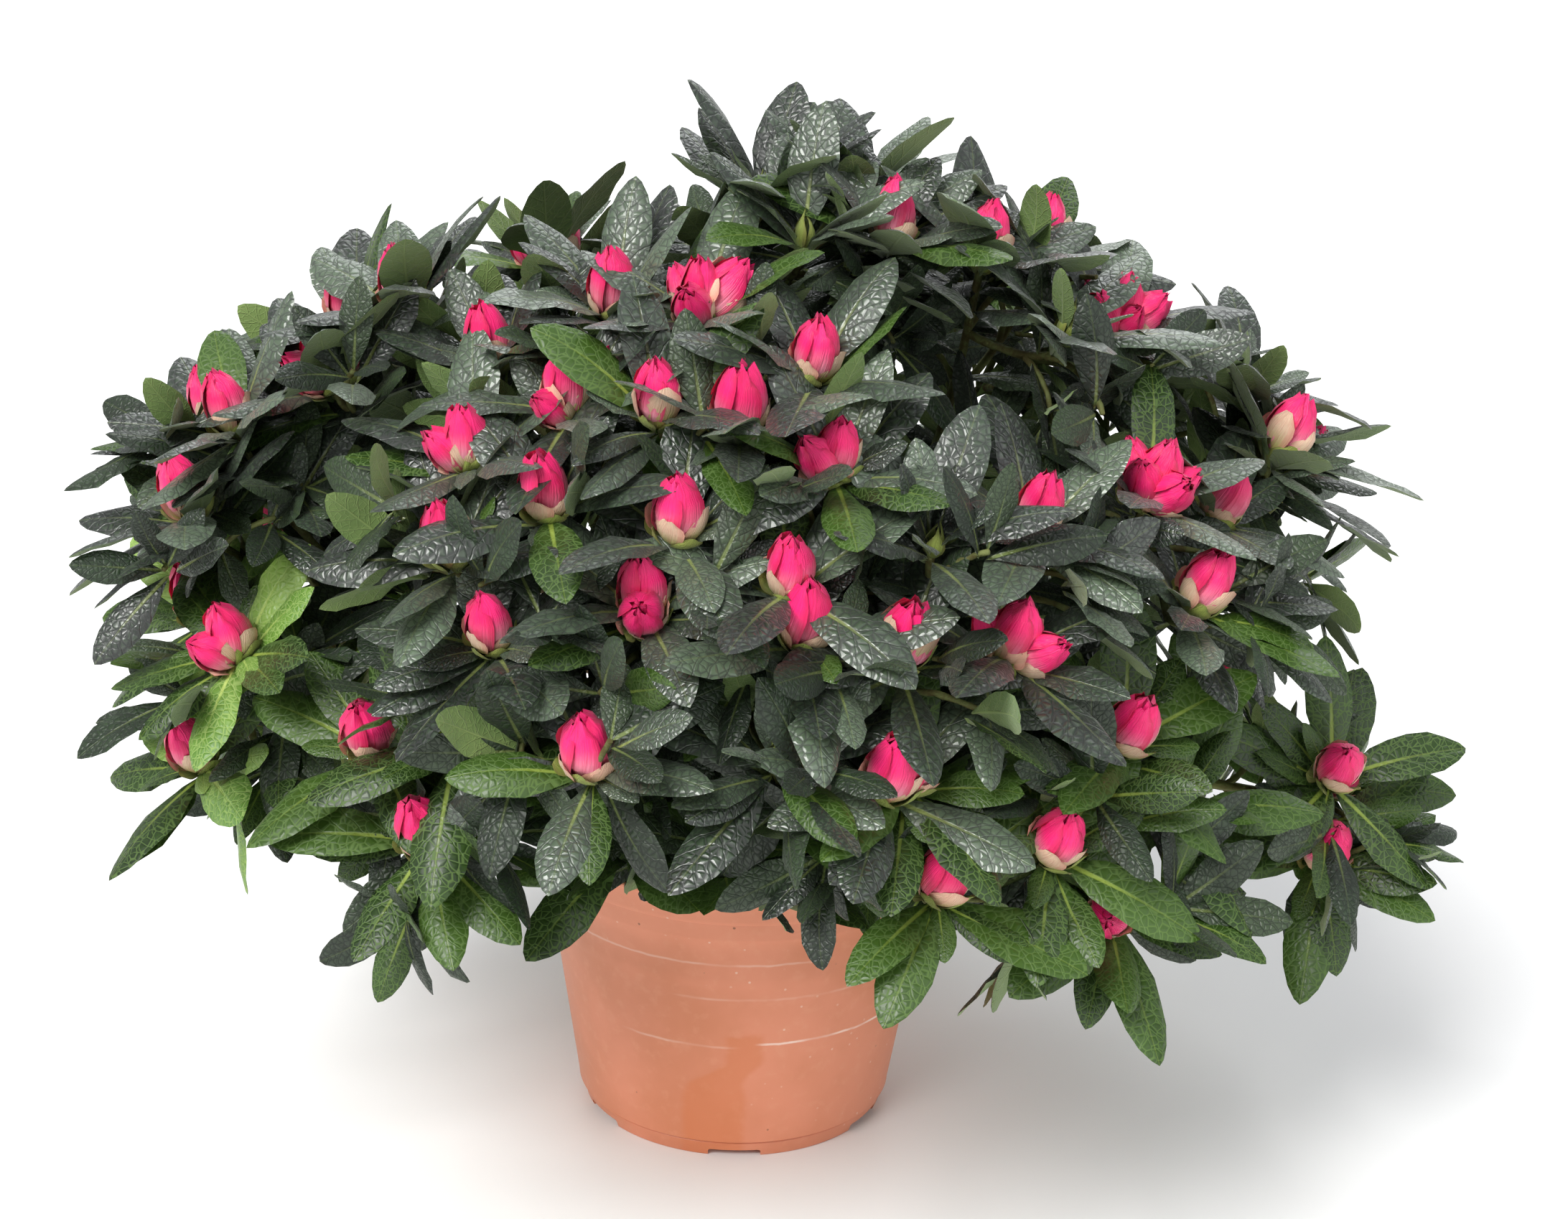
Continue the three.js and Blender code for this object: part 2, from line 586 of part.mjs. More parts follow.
function growLeaf(shoot, k) {
  const tries = [[1, 0], [1, 16], [0.86, 6], [0.9, 30], [0.72, 12], [0.74, 38], [0.6, 24]];
  for (const [shorter, lift] of tries) {
    const leaf = makeLeaf(shoot, k, shorter, lift);
    if (isClear(leafSolid(leaf, CLEARANCE), [shoot.label, shoot.twigOwner])) {
      const blade = leafSolid(leaf, 0);
      shoot.pieces.push(blade);
      take(blade, shoot.label);
      return 1;
    }
  }
  return 0;
}

// Assembly

const group = new THREE.Group();

function addPiece(name, solid, colour, roughness) {
  const material = new THREE.MeshStandardMaterial({ color: colour, roughness, metalness: 0 });
  const mesh = new THREE.Mesh(geometryOf(solid), material);
  mesh.name = name;
  group.add(mesh);
}

const pot = makePot();
const rootBall = makeRootBall();
const trunk = makeTrunk(0);
addPiece("pot", pot, 0xd0805c, 0.5);
addPiece("root_ball", rootBall, 0x2a1c14, 0.95);
addPiece("trunk", trunk, 0x6b5440, 0.9);
take(pot, "pot");
take(rootBall, "root_ball");
take(trunk, "trunk");

for (const mass of MASSES) {
  const bough = makeBough(mass);
  addPiece(`bough_${mass.name}`, bough, 0x77624a, 0.85);
  take(bough, `bough_${mass.name}`);
}

const crown = MASSES.map((mass, number) => ({ mass, shoots: makeShoots(mass, number) }));
for (const { mass, shoots } of crown) {
  for (const [number, shoot] of shoots.entries()) {
    shoot.label = `${mass.name}_shoot_${number}`;
    shoot.leafJitter = Array.from({ length: LEAVES_PER_SHOOT }, () => jitter(shoot.dice, 7));
    shoot.leafSize = Array.from({ length: LEAVES_PER_SHOOT }, () => 1 + jitter(shoot.dice, 0.1));
    shoot.leafTilt = Array.from({ length: LEAVES_PER_SHOOT }, () => jitter(shoot.dice, 12));
    growBuds(shoot);
  }
}

for (const entry of crown) {
  const { mass, shoots } = entry;
  const alive = shoots.filter((shoot) => shoot.grown);
  entry.stem = makeStem(mass, alive, makeDice(77 + mass.out));
}

for (let k = 0; k < LEAVES_PER_SHOOT; k += 1) {
  for (const { shoots } of crown) {
    shoots.filter((shoot) => shoot.grown).forEach((shoot) => growLeaf(shoot, k));
  }
}

for (const { mass, shoots, stem } of crown) {
  const pieces = shoots.filter((shoot) => shoot.grown).flatMap((shoot) => shoot.pieces);
  addPiece(`foliage_${mass.name}`, joined([...stem, ...pieces]), 0x35533a, 0.6);
}

export default group;
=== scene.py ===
"""A potted azalea in bud: limbs, twigs, leaves and buds grown from one rule, in a turned plastic pot."""

import math
from collections import namedtuple

import bpy
import numpy as np
from bpy.props import FloatProperty, FloatVectorProperty, IntProperty, PointerProperty
from mathutils import Matrix, Quaternion, Vector


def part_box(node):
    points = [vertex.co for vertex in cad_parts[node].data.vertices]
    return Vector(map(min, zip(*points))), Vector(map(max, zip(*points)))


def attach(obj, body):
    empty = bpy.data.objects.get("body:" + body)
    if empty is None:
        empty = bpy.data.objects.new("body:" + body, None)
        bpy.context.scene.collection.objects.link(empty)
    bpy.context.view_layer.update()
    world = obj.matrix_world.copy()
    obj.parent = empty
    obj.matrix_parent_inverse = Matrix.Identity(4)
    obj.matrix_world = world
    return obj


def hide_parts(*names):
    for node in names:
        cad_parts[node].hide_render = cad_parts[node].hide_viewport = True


bl_info = {
    "name": "Potted Azalea",
    "version": (1, 0, 0),
    "blender": (4, 5, 0),
    "location": "3D View > Sidebar > Azalea",
    "description": "Builds a potted azalea shrub in bud around its packed frame",
    "category": "Add Mesh",
}

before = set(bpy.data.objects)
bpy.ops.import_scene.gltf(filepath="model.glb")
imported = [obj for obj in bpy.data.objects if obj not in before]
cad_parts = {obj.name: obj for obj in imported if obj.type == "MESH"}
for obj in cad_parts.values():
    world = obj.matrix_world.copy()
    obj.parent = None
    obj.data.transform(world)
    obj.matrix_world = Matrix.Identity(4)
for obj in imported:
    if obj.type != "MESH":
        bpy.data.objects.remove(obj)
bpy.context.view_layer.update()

# Lengths in the growth rule are in millimetres, as in the frame's source; meshes are in metres.
MM = 0.001
UP = Vector((0, 0, 1))

# Trunk: a short leaning stem with a lobed root flare.
TRUNK_FOOT = 88.3
TRUNK_HEAD = Vector((3, 1, 117))
TRUNK_CURVE = (Vector((0, 0, TRUNK_FOOT)), Vector((0, 0, (TRUNK_FOOT + TRUNK_HEAD.z) / 2)), TRUNK_HEAD)
TRUNK_STEPS = 26
TRUNK_SIDES = 40
TRUNK_SUNK = 0.6
TRUNK_FLARE = 4.0
TRUNK_FLARE_HEIGHT = 4
TRUNK_LOBES = 3
TRUNK_LOBE_SHARE = 0.25
TRUNK_GRAIN = 0.025
# Ridges up the trunk: how deep as a share of its radius, how many, and how far they turn.
TRUNK_RIDGES = ((0.05, 7, 4), (0.04, 11, -7))

# Boughs: main ones leave the trunk, side ones leave another bough part of the way along it.
LOW_LEAVE_HEIGHT = 97
HIGH_LEAVE_HEIGHT = 115
MAIN_LIFT = 0.15
MAIN_BEND = 0.45
MAIN_RADII = (3.3, 2.1)
SIDE_START = 0.36
SIDE_SPACING = 0.13
SIDE_BEND = 0.25
SIDE_RADII = (2.4, 1.7)
BOUGH_REACH = 0.6
BOUGH_SIDES = 12
BOUGH_STEPS = 22
BOUGH_WANDER = 0.16
BOUGH_KNOTS = 0.05

# Crown: a broad low dome. Each mass of foliage is a few shoots on a ring about its middle.
HEART = Vector((5, 0, 130))
CROWN_LOW = 115
CROWN_HIGH = 295
DOME_RADIUS = 150
WHEEL_JITTER = 8
SPAN_JITTER = 0.12
FACE_LEAN = 0.6
LIGHT_FACING = 0.7
LIGHT_DRAW = 9

# Twigs: a leader runs from the bough's tip to the furthest shoot, and the others leave its sides.
TWIG_OVERLAP = 2
TWIG_SINK = 1.0
LEADER_START = 0.35
LEADER_END = 0.3
LEADER_RADII = (1.6, 1.15)
FORKS = (2 / 3, 1 / 3)
TWIG_BEND = 0.45
TWIG_RADII = (1.25, 1.05)
TWIG_SIDES = 7
TWIG_STEPS = 13
TWIG_WANDER = 0.12
TWIG_KNOTS = 0.07

# Leaves: how they stand round a shoot, in millimetres and degrees, and how much they differ.
LEAVES_PER_WHORL = 5
LEAF_ROOT_REACH = 0.7
LEAF_STEP = 0.8
LEAF_TILT = 82
CREST_LIFT = 24
WHORL_TILT = 22
OUTER_DROOP = 14
FACE_TURN = 18
TURN_JITTER = 7
SIZE_JITTER = 0.1
TILT_JITTER = 12
INNER_TURN_JITTER = 14
INNER_TILT_JITTER = 9
INNER_SIZES = (0.86, 1.1)
# Turns in radians: from one leaf to the next down a twig, and about a whole turn.
GOLDEN_TURN = 2.4
ANY_TURN = 6.28

# Inner whorls: how many leaves, the turn of the first, the tilt added to them, their share of a
# full length and how far below the rosette's foot they stand.
Whorl = namedtuple("Whorl", "count offset lift size step")
UPRIGHT_WHORLS = (Whorl(5, 36, -14, 0.95, 3.5), Whorl(3, 10, -10, 0.6, 1.5))
FLOWER_WHORLS = (Whorl(4, 36, -3, 0.86, 3.5), Whorl(3, 10, -6, 0.5, 1.5))
LEAFY_WHORLS = (Whorl(4, 36, -12, 0.84, 3.5), Whorl(4, 10, -34, 0.58, 0.5))

# Leaves down a twig: how many, then where they start, how far they run on and below what place they
# are shaded, as shares of the twig, and then their shares of a full length and their tilts.
SIDE_LEAVES = 6
SIDE_LEAVES_TOP = 0.88
SIDE_LEAVES_RUN = 0.58
SIDE_LEAVES_SHADE = 0.72
SIDE_LEAF_SIZES = (0.62, 0.98)
SIDE_LEAF_TILTS = (55, 88)

# Sprays: small side twigs inside the crown, at these shares of a twig or a bough.
TWIG_SPRAYS = (0.42, 0.66)
BOUGH_SPRAYS = (0.7, 0.88, 1.0)
SPRAY_FORWARD = 0.5
SPRAY_RISE = 0.2
SPRAY_OUT = 0.1
SPRAY_UPTURN = 0.5
SPRAY_REACHES = (18, 30)
SPRAY_BEND = 0.5
SPRAY_RADII = (1.0, 0.8)
SPRAY_LEAVES = 7
SPRAY_SHADE_LEAVES = 5
SPRAY_LEAF_SIZES = (0.55, 0.85)
SPRAY_LEAF_TILTS = (38, 86)
SPRAY_LEAF_STEP = 0.9

# Buds: the first stands on the shoot's axis, and the others lean out round it.
BUD_FOOT = 9
CLUSTER_SIZE = 0.92
CLUSTER_LEAN = 38
CLUSTER_LEAN_JITTER = 5
CLUSTER_SPREAD = 3
CLUSTER_TURN = 50
CLUSTER_SIZES = (0.78, 1.0)
LEAF_BUD_SHARE = 0.45
LEAF_BUD_LEAN = 0.75
LEAF_BUD_SIZES = (0.7, 1.0)
LONE_LEAF_BUD_SIZES = (0.9, 1.2)

# Room round a flower bud, from above its foot to past its tip, that leaves keep out of.
BUD_ROOM_FOOT = 6
BUD_ROOM_REACH = 14
BUD_CLEARANCE = 10
OWN_BUD_CLEARANCE = 6.5
OWN_ROOT_REACH = 7
LEAF_TEST_SHARES = np.array([0.3, 0.5, 0.7, 0.85, 1.0])

# Room round the pot's rim. The gap is the stretch in front where the rim shows under the crown.
RIM_REACH = 96
RIM_LEVEL = 93
GAP_LEFT = -42
GAP_RIGHT = 30
GAP_REACH = 150
GAP_START = 60
GAP_RISE = 0.42
STEEPEST_FALL = -0.6
STEEPEST_RISE = 0.7

# Seeds of the random numbers. The number of a shoot, mass or bud is added, and for a shoot's dice
# the numbers of its mass and of its place in it, each by its own step. Shoots are numbered through
# the crown, so many numbers to a mass.
NUMBERS_PER_MASS = 8
SHOOT_SEED = 1000
MASS_SEED_STEP = 131
SHOOT_SEED_STEP = 17
TRUNK_SEED = 41
TWIG_SKIN_SEED = 42
PEAT_SEED = 43
LEAF_SEED = 60
SHELL_TONE_SEED = 80
SHELL_SEED = 3000
WHORL_SEED = 5000
BOUGH_SEED = 6000
TWIG_SEED = 7000
BUD_SEED = 9000

# Masses: the limb that each one's bough leaves from, where its middle lies (turn, distance out from
# the pot's axis, height), how many shoots it has, the radius of their ring and where on it the first
# one is (0 up the dome, 90 to the right), the flower buds on the first shoot, the share of the other
# shoots that flower, and how much one leaf of a shoot with no flower is turned up.
Mass = namedtuple(
    "Mass",
    "name source turn out up shoots span wheel buds flowering upright",
    defaults=(0.8, 0),
)
MASSES = (
    Mass("crown_top", "right_crest", 32, 39, 296, 4, 19, 140, 1, 0.3, 30),
    Mass("front_upper", "trunk", -5, 91, 267, 3, 23, 330, 4),
    Mass("left_upper", "front_upper", -38, 86, 263, 3, 21, 130, 3),
    Mass("right_crest", "trunk", 70, 90, 276, 4, 21, 150, 6),
    Mass("left_shoulder", "trunk", -77, 116, 256, 3, 18, 150, 3),
    Mass("left_front", "left_shoulder", -33, 126, 231, 3, 18, 315, 2),
    Mass("back_upper_left", "left_shoulder", -128, 112, 239, 4, 31, 0, 3),
    Mass("far_left", "left_shoulder", -77, 162, 217, 4, 19, 30, 1),
    Mass("front_centre", "front_upper", 2, 119, 239, 4, 24, 70, 2),
    Mass("right_front", "right_mid", 30, 136, 221, 3, 20, 180, 3),
    Mass("right_side", "right_crest", 90, 156, 226, 3, 18, 270, 1),
    Mass("right_mid", "trunk", 60, 143, 217, 3, 20, 330, 6),
    Mass("mid_left", "low_left", -19, 141, 194, 3, 25, 40, 2),
    Mass("low_centre", "low_front", -8, 102, 130, 2, 20, 90, 0),
    Mass("front_low", "low_front", 11, 143, 190, 4, 22, 55, 1),
    Mass("left_spray", "low_left", -70, 168, 161, 3, 27, 60, 2),
    Mass("low_left", "trunk", -37, 149, 157, 3, 17, 285, 1),
    Mass("low_front", "trunk", 20, 150, 156, 2, 17, 160, 1),
    Mass("low_right", "right_mid", 43, 158, 147, 4, 25, 180, 2),
    Mass("right_spray", "trunk", 78, 187, 123, 3, 16, 205, 1),
    Mass("back_crest", "back_mid", 178, 62, 258, 4, 26, 20, 2),
    Mass("back_upper_right", "right_crest", 128, 114, 247, 4, 31, 40, 3),
    Mass("back_left", "trunk", -117, 156, 200, 4, 33, 15, 2),
    Mass("back_mid", "trunk", 180, 146, 212, 4, 34, 30, 4),
    Mass("back_right", "trunk", 119, 160, 202, 4, 33, 55, 2),
    Mass("back_low_left", "back_left", -107, 150, 142, 5, 38, 45, 1),
    Mass("back_low", "back_mid", 178, 158, 146, 6, 46, 20, 1),
    Mass("back_low_right", "back_right", 119, 158, 143, 5, 40, 20, 1),
)
MASS_BY_NAME = {mass.name: mass for mass in MASSES}

# Masses whose leaves are fresh green, and the one where some are young and pale. The leaves of all
# the others are dusky, with a blue-grey bloom that is partly a painted highlight, but for a few fresh
# ones.
FRESH_MASSES = (
    "left_spray", "low_left", "low_front", "low_centre", "low_right", "right_spray",
    "back_low", "back_low_left", "back_low_right",
)
YOUNG_MASSES = ("left_spray",)
YOUNG_SHARE = 0.36
FRESH_SHARE = 0.09
# Masses whose inner leaves stand up round their buds.
UPRIGHT_MASSES = ("left_upper", "left_shoulder", "crown_top", "back_upper_left", "far_left")
# Masses whose shoots lean towards the light in front, and how far.
LIGHT = Vector((0, -1, 0))
LIGHT_LEAN = {"right_spray": 0.85, "low_left": 0.5, "low_right": 0.35, "left_spray": 0.3}

Shoot = namedtuple("Shoot", "mass foot axis facing upright buds spin jitter size tilt number")
Limb = namedtuple("Limb", "curve start_radius end_radius")
Leaf = namedtuple("Leaf", "root along upper length finish")
Bud = namedtuple("Bud", "foot axis spin size kind")


def paint(red, green, blue):
    """A colour as seen on a screen, 0 to 255, turned to the linear values that a shader reads."""
    def linear(value):
        share = value / 255
        return share / 12.92 if share <= 0.04045 else ((share + 0.055) / 1.055) ** 2.4
    return (linear(red), linear(green), linear(blue), 1)


# Growth

DICE_FACTOR = 1664525
DICE_STEP = 1013904223
DICE_STATES = 4294967296


def dice_for(seed):
    """The same little random source as the frame's source uses."""
    state = seed % DICE_STATES

    def roll():
        nonlocal state
        state = (state * DICE_FACTOR + DICE_STEP) % DICE_STATES
        return state / DICE_STATES

    return roll


def spread_of(dice, amount):
    return (dice() * 2 - 1) * amount


def outward(turn):
    angle = math.radians(turn)
    return Vector((math.sin(angle), -math.cos(angle), 0))


def ray_at(axis, turn):
    """The direction square to an axis at a turn round it, in radians."""
    ray = Vector((math.cos(turn), math.sin(turn), 0))
    ray.rotate(UP.rotation_difference(axis))
    return ray


def middle_of(mass):
    middle = outward(mass.turn) * mass.out
    middle.z = mass.up
    return middle


def point_on(curve, share):
    """A point of a Bezier curve of any order."""
    points = list(curve)
    while len(points) > 1:
        points = [a.lerp(b, share) for a, b in zip(points, points[1:])]
    return points[0]


def heading_on(curve, share):
    """The direction of a Bezier curve at a share of it."""
    points = list(curve)
    while len(points) > 2:
        points = [a.lerp(b, share) for a, b in zip(points, points[1:])]
    return (points[1] - points[0]).normalized()


def bough_curve(mass):
    """The route of a bough, from inside the limb that carries it to where it enters its mass."""
    middle = middle_of(mass)
    rise = (mass.up - CROWN_LOW) / (CROWN_HIGH - CROWN_LOW)
    is_main = mass.source == "trunk"
    if is_main:
        parent = TRUNK_CURVE
        level = LOW_LEAVE_HEIGHT + (HIGH_LEAVE_HEIGHT - LOW_LEAVE_HEIGHT) * rise
        share = (level - TRUNK_FOOT) / (TRUNK_HEAD.z - TRUNK_FOOT)
    else:
        parent = bough_curve(MASS_BY_NAME[mass.source])
        siblings = [other.name for other in MASSES if other.source == mass.source]
        share = SIDE_START + SIDE_SPACING * siblings.index(mass.name)
    start = point_on(parent, share)
    tip = TRUNK_HEAD.lerp(middle, BOUGH_REACH)
    run = (tip - start).length
    heading = outward(mass.turn) + UP * (MAIN_LIFT + rise) if is_main else heading_on(parent, share)
    bend = start + heading.normalized() * run * (MAIN_BEND if is_main else SIDE_BEND)
    return (start, bend, tip)


def shoots_of(mass, number):
    """The shoots of a mass, on a ring about its middle that is bent to the dome."""
    middle = middle_of(mass)
    normal = (middle - HEART).normalized()
    side = UP.cross(normal).normalized()
    slope = normal.cross(side)
    lean = LIGHT_LEAN.get(mass.name, 0)
    shoots = []
    for k in range(mass.shoots):
        dice = dice_for(SHOOT_SEED + number * MASS_SEED_STEP + k * SHOOT_SEED_STEP)
        dice()
        angle = math.radians(mass.wheel + 360 * k / mass.shoots + spread_of(dice, WHEEL_JITTER))
        reach = mass.span * (1 + spread_of(dice, SPAN_JITTER))
        spot = middle + side * math.sin(angle) * reach + slope * math.cos(angle) * reach
        spot -= normal * reach * reach / (2 * DOME_RADIUS)
        facing = (spot - HEART).normalized()
        spot -= facing * lean * LIGHT_DRAW
        axis = (UP + facing * FACE_LEAN * (1 - lean) + LIGHT * lean).normalized()
        facing = facing.lerp(LIGHT, lean * LIGHT_FACING).normalized()
        flowers = 1 if dice() < mass.flowering else 0
        buds = mass.buds if k == 0 else min(mass.buds, flowers)
        shoots.append(Shoot(
            mass=mass, foot=spot - axis * BUD_FOOT, axis=axis, facing=facing,
            upright=0 if buds else mass.upright, buds=buds, spin=dice() * 360,
            jitter=[spread_of(dice, TURN_JITTER) for _ in range(LEAVES_PER_WHORL)],
            size=[1 + spread_of(dice, SIZE_JITTER) for _ in range(LEAVES_PER_WHORL)],
            tilt=[spread_of(dice, TILT_JITTER) for _ in range(LEAVES_PER_WHORL)],
            number=number * NUMBERS_PER_MASS + k,
        ))
    return shoots


def twigs_of(mass, shoots):
    """The leader from the bough's tip to the furthest shoot, and the twigs that leave its sides."""
    bough = bough_curve(mass)
    heading = heading_on(bough, 1)
    start = point_on(bough, 1) - heading * TWIG_OVERLAP
    in_order = sorted(shoots, key=lambda shoot: -(shoot.foot - start).length)
    leader = in_order[0]
    run = (leader.foot - start).length
    ends = {shoot.number: shoot.foot - shoot.axis * TWIG_SINK for shoot in shoots}
    curve = (
        start,
        start + heading * run * LEADER_START,
        leader.foot - leader.axis * run * LEADER_END,
        ends[leader.number],
    )
    twigs = {leader.number: Limb(curve, *LEADER_RADII)}
    for k, shoot in enumerate(in_order[1:]):
        fork = point_on(curve, FORKS[k % 2])
        reach = (shoot.foot - fork).length
        bend = shoot.foot - shoot.axis * reach * TWIG_BEND
        twigs[shoot.number] = Limb((fork, bend, ends[shoot.number]), *TWIG_RADII)
    return twigs


def leaf_at(foot, axis, turn, tilt, length, finish, step=0.0):
    """A leaf that leaves a shoot at a turn round its axis and a tilt away from it, in degrees."""
    ray = ray_at(axis, turn)
    angle = math.radians(tilt)
    along = ray * math.sin(angle) + axis * math.cos(angle)
    upper = axis * math.sin(angle) - ray * math.cos(angle)
    root = foot - axis * step + ray * LEAF_ROOT_REACH
    return Leaf(root, along, upper, length, finish)


def spread_at(shoot, turn):
    """The tilt of a leaf at a turn round its shoot: leaves on the crown's outside lie flatter."""
    ray = ray_at(shoot.axis, turn)
    level = Vector((shoot.facing.x, shoot.facing.y, 0)).normalized()
    droop = OUTER_DROOP * max(shoot.facing.z, 0) * max(ray.dot(level), 0)
    return LEAF_TILT - CREST_LIFT * shoot.facing.z + WHORL_TILT * ray.dot(shoot.facing) + droop


def finish_for(mass, rng):
    if mass.name in FRESH_MASSES:
        young = mass.name in YOUNG_MASSES and rng.random() < YOUNG_SHARE
        return "young" if young else "fresh"
    return "fresh" if rng.random() < FRESH_SHARE else "dusky"


def whorls_of(shoot, sizes):
    """The rosette of leaves round one shoot: the outer whorl as in the frame, and two inside it."""
    rng = np.random.default_rng(WHORL_SEED + shoot.number)
    full = sizes.leaf_length / MM
    outer = []
    for k in range(LEAVES_PER_WHORL):
        turn = math.radians(shoot.spin + FACE_TURN + 360 / LEAVES_PER_WHORL * k + shoot.jitter[k])
        tilt = spread_at(shoot, turn) + shoot.tilt[k] - (shoot.upright if k == 0 else 0)
        finish = finish_for(shoot.mass, rng)
        step = LEAF_STEP * (k + 0.5)
        outer.append(leaf_at(shoot.foot, shoot.axis, turn, tilt, full * shoot.size[k], finish, step))
    if shoot.mass.name in UPRIGHT_MASSES:
        whorls = UPRIGHT_WHORLS
    else:
        whorls = FLOWER_WHORLS if shoot.buds else LEAFY_WHORLS
    inner = []
    for whorl in whorls:
        for k in range(whorl.count):
            jitter = rng.uniform(-INNER_TURN_JITTER, INNER_TURN_JITTER)
            turn = math.radians(shoot.spin + whorl.offset + 360 * k / whorl.count + jitter)
            jitter = rng.uniform(-INNER_TILT_JITTER, INNER_TILT_JITTER)
            tilt = spread_at(shoot, turn) + whorl.lift + jitter
            length = full * whorl.size * rng.uniform(*INNER_SIZES)
            finish = finish_for(shoot.mass, rng)
            inner.append(leaf_at(shoot.foot, shoot.axis, turn, tilt, length, finish, whorl.step))
    return outer, inner


def side_leaves(limb, shoot, sizes, rng):
    """Leaves spaced down a twig below its rosette, each a golden turn round from the last."""
    leaves = []
    turn = rng.uniform(0, ANY_TURN)
    for k in range(SIDE_LEAVES):
        share = SIDE_LEAVES_TOP - SIDE_LEAVES_RUN * (k + rng.uniform(0, 0.5)) / SIDE_LEAVES
        spot = point_on(limb.curve, share)
        heading = heading_on(limb.curve, share)
        turn += GOLDEN_TURN
        length = sizes.leaf_length / MM * rng.uniform(*SIDE_LEAF_SIZES)
        finish = "shade" if share < SIDE_LEAVES_SHADE else finish_for(shoot.mass, rng)
        leaves.append(leaf_at(spot, heading, turn, rng.uniform(*SIDE_LEAF_TILTS), length, finish))
    return leaves


def fill_sprays(limb, mass, facing, sizes, rng, shares):
    """Short side twigs inside the crown, each with a small rosette and no flower bud."""
    twigs = []
    leaves = []
    for share in shares:
        fork = point_on(limb.curve, share)
        heading = heading_on(limb.curve, share)
        turn = rng.uniform(0, 2 * math.pi)
        lift = ray_at(heading, turn) + heading * SPRAY_FORWARD + UP * SPRAY_RISE + facing * SPRAY_OUT
        lift.normalize()
        reach = rng.uniform(*SPRAY_REACHES)
        tip = fork + lift * reach
        bend = fork + (heading + lift).normalized() * reach * SPRAY_BEND
        axis = (lift + UP * SPRAY_UPTURN).normalized()
        twigs.append(Limb((fork, bend, tip), *SPRAY_RADII))
        for k in range(SPRAY_LEAVES):
            length = sizes.leaf_length / MM * rng.uniform(*SPRAY_LEAF_SIZES)
            finish = "shade" if k < SPRAY_SHADE_LEAVES else finish_for(mass, rng)
            tilt = rng.uniform(*SPRAY_LEAF_TILTS)
            step = SPRAY_LEAF_STEP * k
            leaves.append(leaf_at(tip, axis, turn + GOLDEN_TURN * k, tilt, length, finish, step))
    return twigs, leaves


def buds_of(shoot):
    """The buds of a shoot: up to six flower buds, at times with a leaf bud, or a leaf bud alone."""
    rng = np.random.default_rng(BUD_SEED + shoot.number)
    if shoot.buds == 0:
        return [Bud(shoot.foot, shoot.axis, shoot.spin, rng.uniform(*LONE_LEAF_BUD_SIZES), "leaf")]
    across = shoot.axis.cross(UP).normalized()
    size = CLUSTER_SIZE if shoot.buds > 1 else 1.0
    buds = [Bud(shoot.foot, shoot.axis, shoot.spin, size, "flower")]
    extra = shoot.buds - 1
    for k in range(extra):
        hinge = Quaternion(shoot.axis, math.radians(shoot.spin + 360 * k / extra)) @ across
        lean = CLUSTER_LEAN + rng.uniform(-CLUSTER_LEAN_JITTER, CLUSTER_LEAN_JITTER)
        axis = Quaternion(hinge, math.radians(lean)) @ shoot.axis
        foot = shoot.foot + (axis - shoot.axis) * CLUSTER_SPREAD
        spin = shoot.spin + CLUSTER_TURN * k
        buds.append(Bud(foot, axis, spin, size * rng.uniform(*CLUSTER_SIZES), "flower"))
    if rng.random() < LEAF_BUD_SHARE:
        aside = Quaternion(shoot.axis, rng.uniform(0, 2 * math.pi)) @ across
        axis = (shoot.axis + aside * LEAF_BUD_LEAN).normalized()
        foot = shoot.foot + aside * CLUSTER_SPREAD
        buds.append(Bud(foot, axis, shoot.spin, rng.uniform(*LEAF_BUD_SIZES), "leaf"))
    return buds


def clear_of_rim(leaf):
    """A leaf that would hang down the pot is lifted, so its tip ends about level with the rim.
    In front, where the peat and the rim show under the crown, it is lifted a little more."""
    tip = leaf.root + leaf.along * leaf.length
    reach = tip.xy.length
    in_gap = GAP_LEFT < tip.x < GAP_RIGHT and tip.y < 0
    level = RIM_LEVEL + (max(reach - GAP_START, 0) * GAP_RISE if in_gap else 0)
    if reach > (GAP_REACH if in_gap else RIM_REACH) or tip.z > level:
        return leaf
    sideways = leaf.along.cross(leaf.upper)
    level_run = leaf.along.xy.normalized()
    rise = min(max((level - leaf.root.z) / leaf.length, STEEPEST_FALL), STEEPEST_RISE)
    run = math.sqrt(1 - rise * rise)
    along = Vector((level_run.x * run, level_run.y * run, rise))
    upper = (sideways - along * sideways.dot(along)).cross(along).normalized()
    return leaf._replace(along=along, upper=upper)


def clear_of_buds(leaves, buds):
    """The leaves that leave every flower bud open to the light, and don't pass through one."""
    root = np.array([leaf.root for leaf in leaves])
    along = np.array([leaf.along for leaf in leaves])
    length = np.array([leaf.length for leaf in leaves])
    points = root[:, None] + along[:, None] * (length[:, None] * LEAF_TEST_SHARES)[..., None]
    clear = np.ones(len(leaves), bool)
    for bud in buds:
        if bud.kind != "flower":
            continue
        foot = np.array(bud.foot + bud.axis * BUD_ROOM_FOOT)
        outwards = (bud.foot - HEART).normalized()
        reach = np.array(bud.axis * BUD_ROOM_REACH + outwards * BUD_ROOM_REACH)
        offset = points - foot
        share = np.clip(offset @ reach / (reach @ reach), 0, 1)
        distance = np.linalg.norm(offset - share[..., None] * reach, axis=-1)
        is_own = np.linalg.norm(root - np.array(bud.foot), axis=1) < OWN_ROOT_REACH
        limit = np.where(is_own, OWN_BUD_CLEARANCE, BUD_CLEARANCE)
        clear &= distance.min(axis=1) > limit
    return [leaf for leaf, is_clear in zip(leaves, clear) if is_clear]


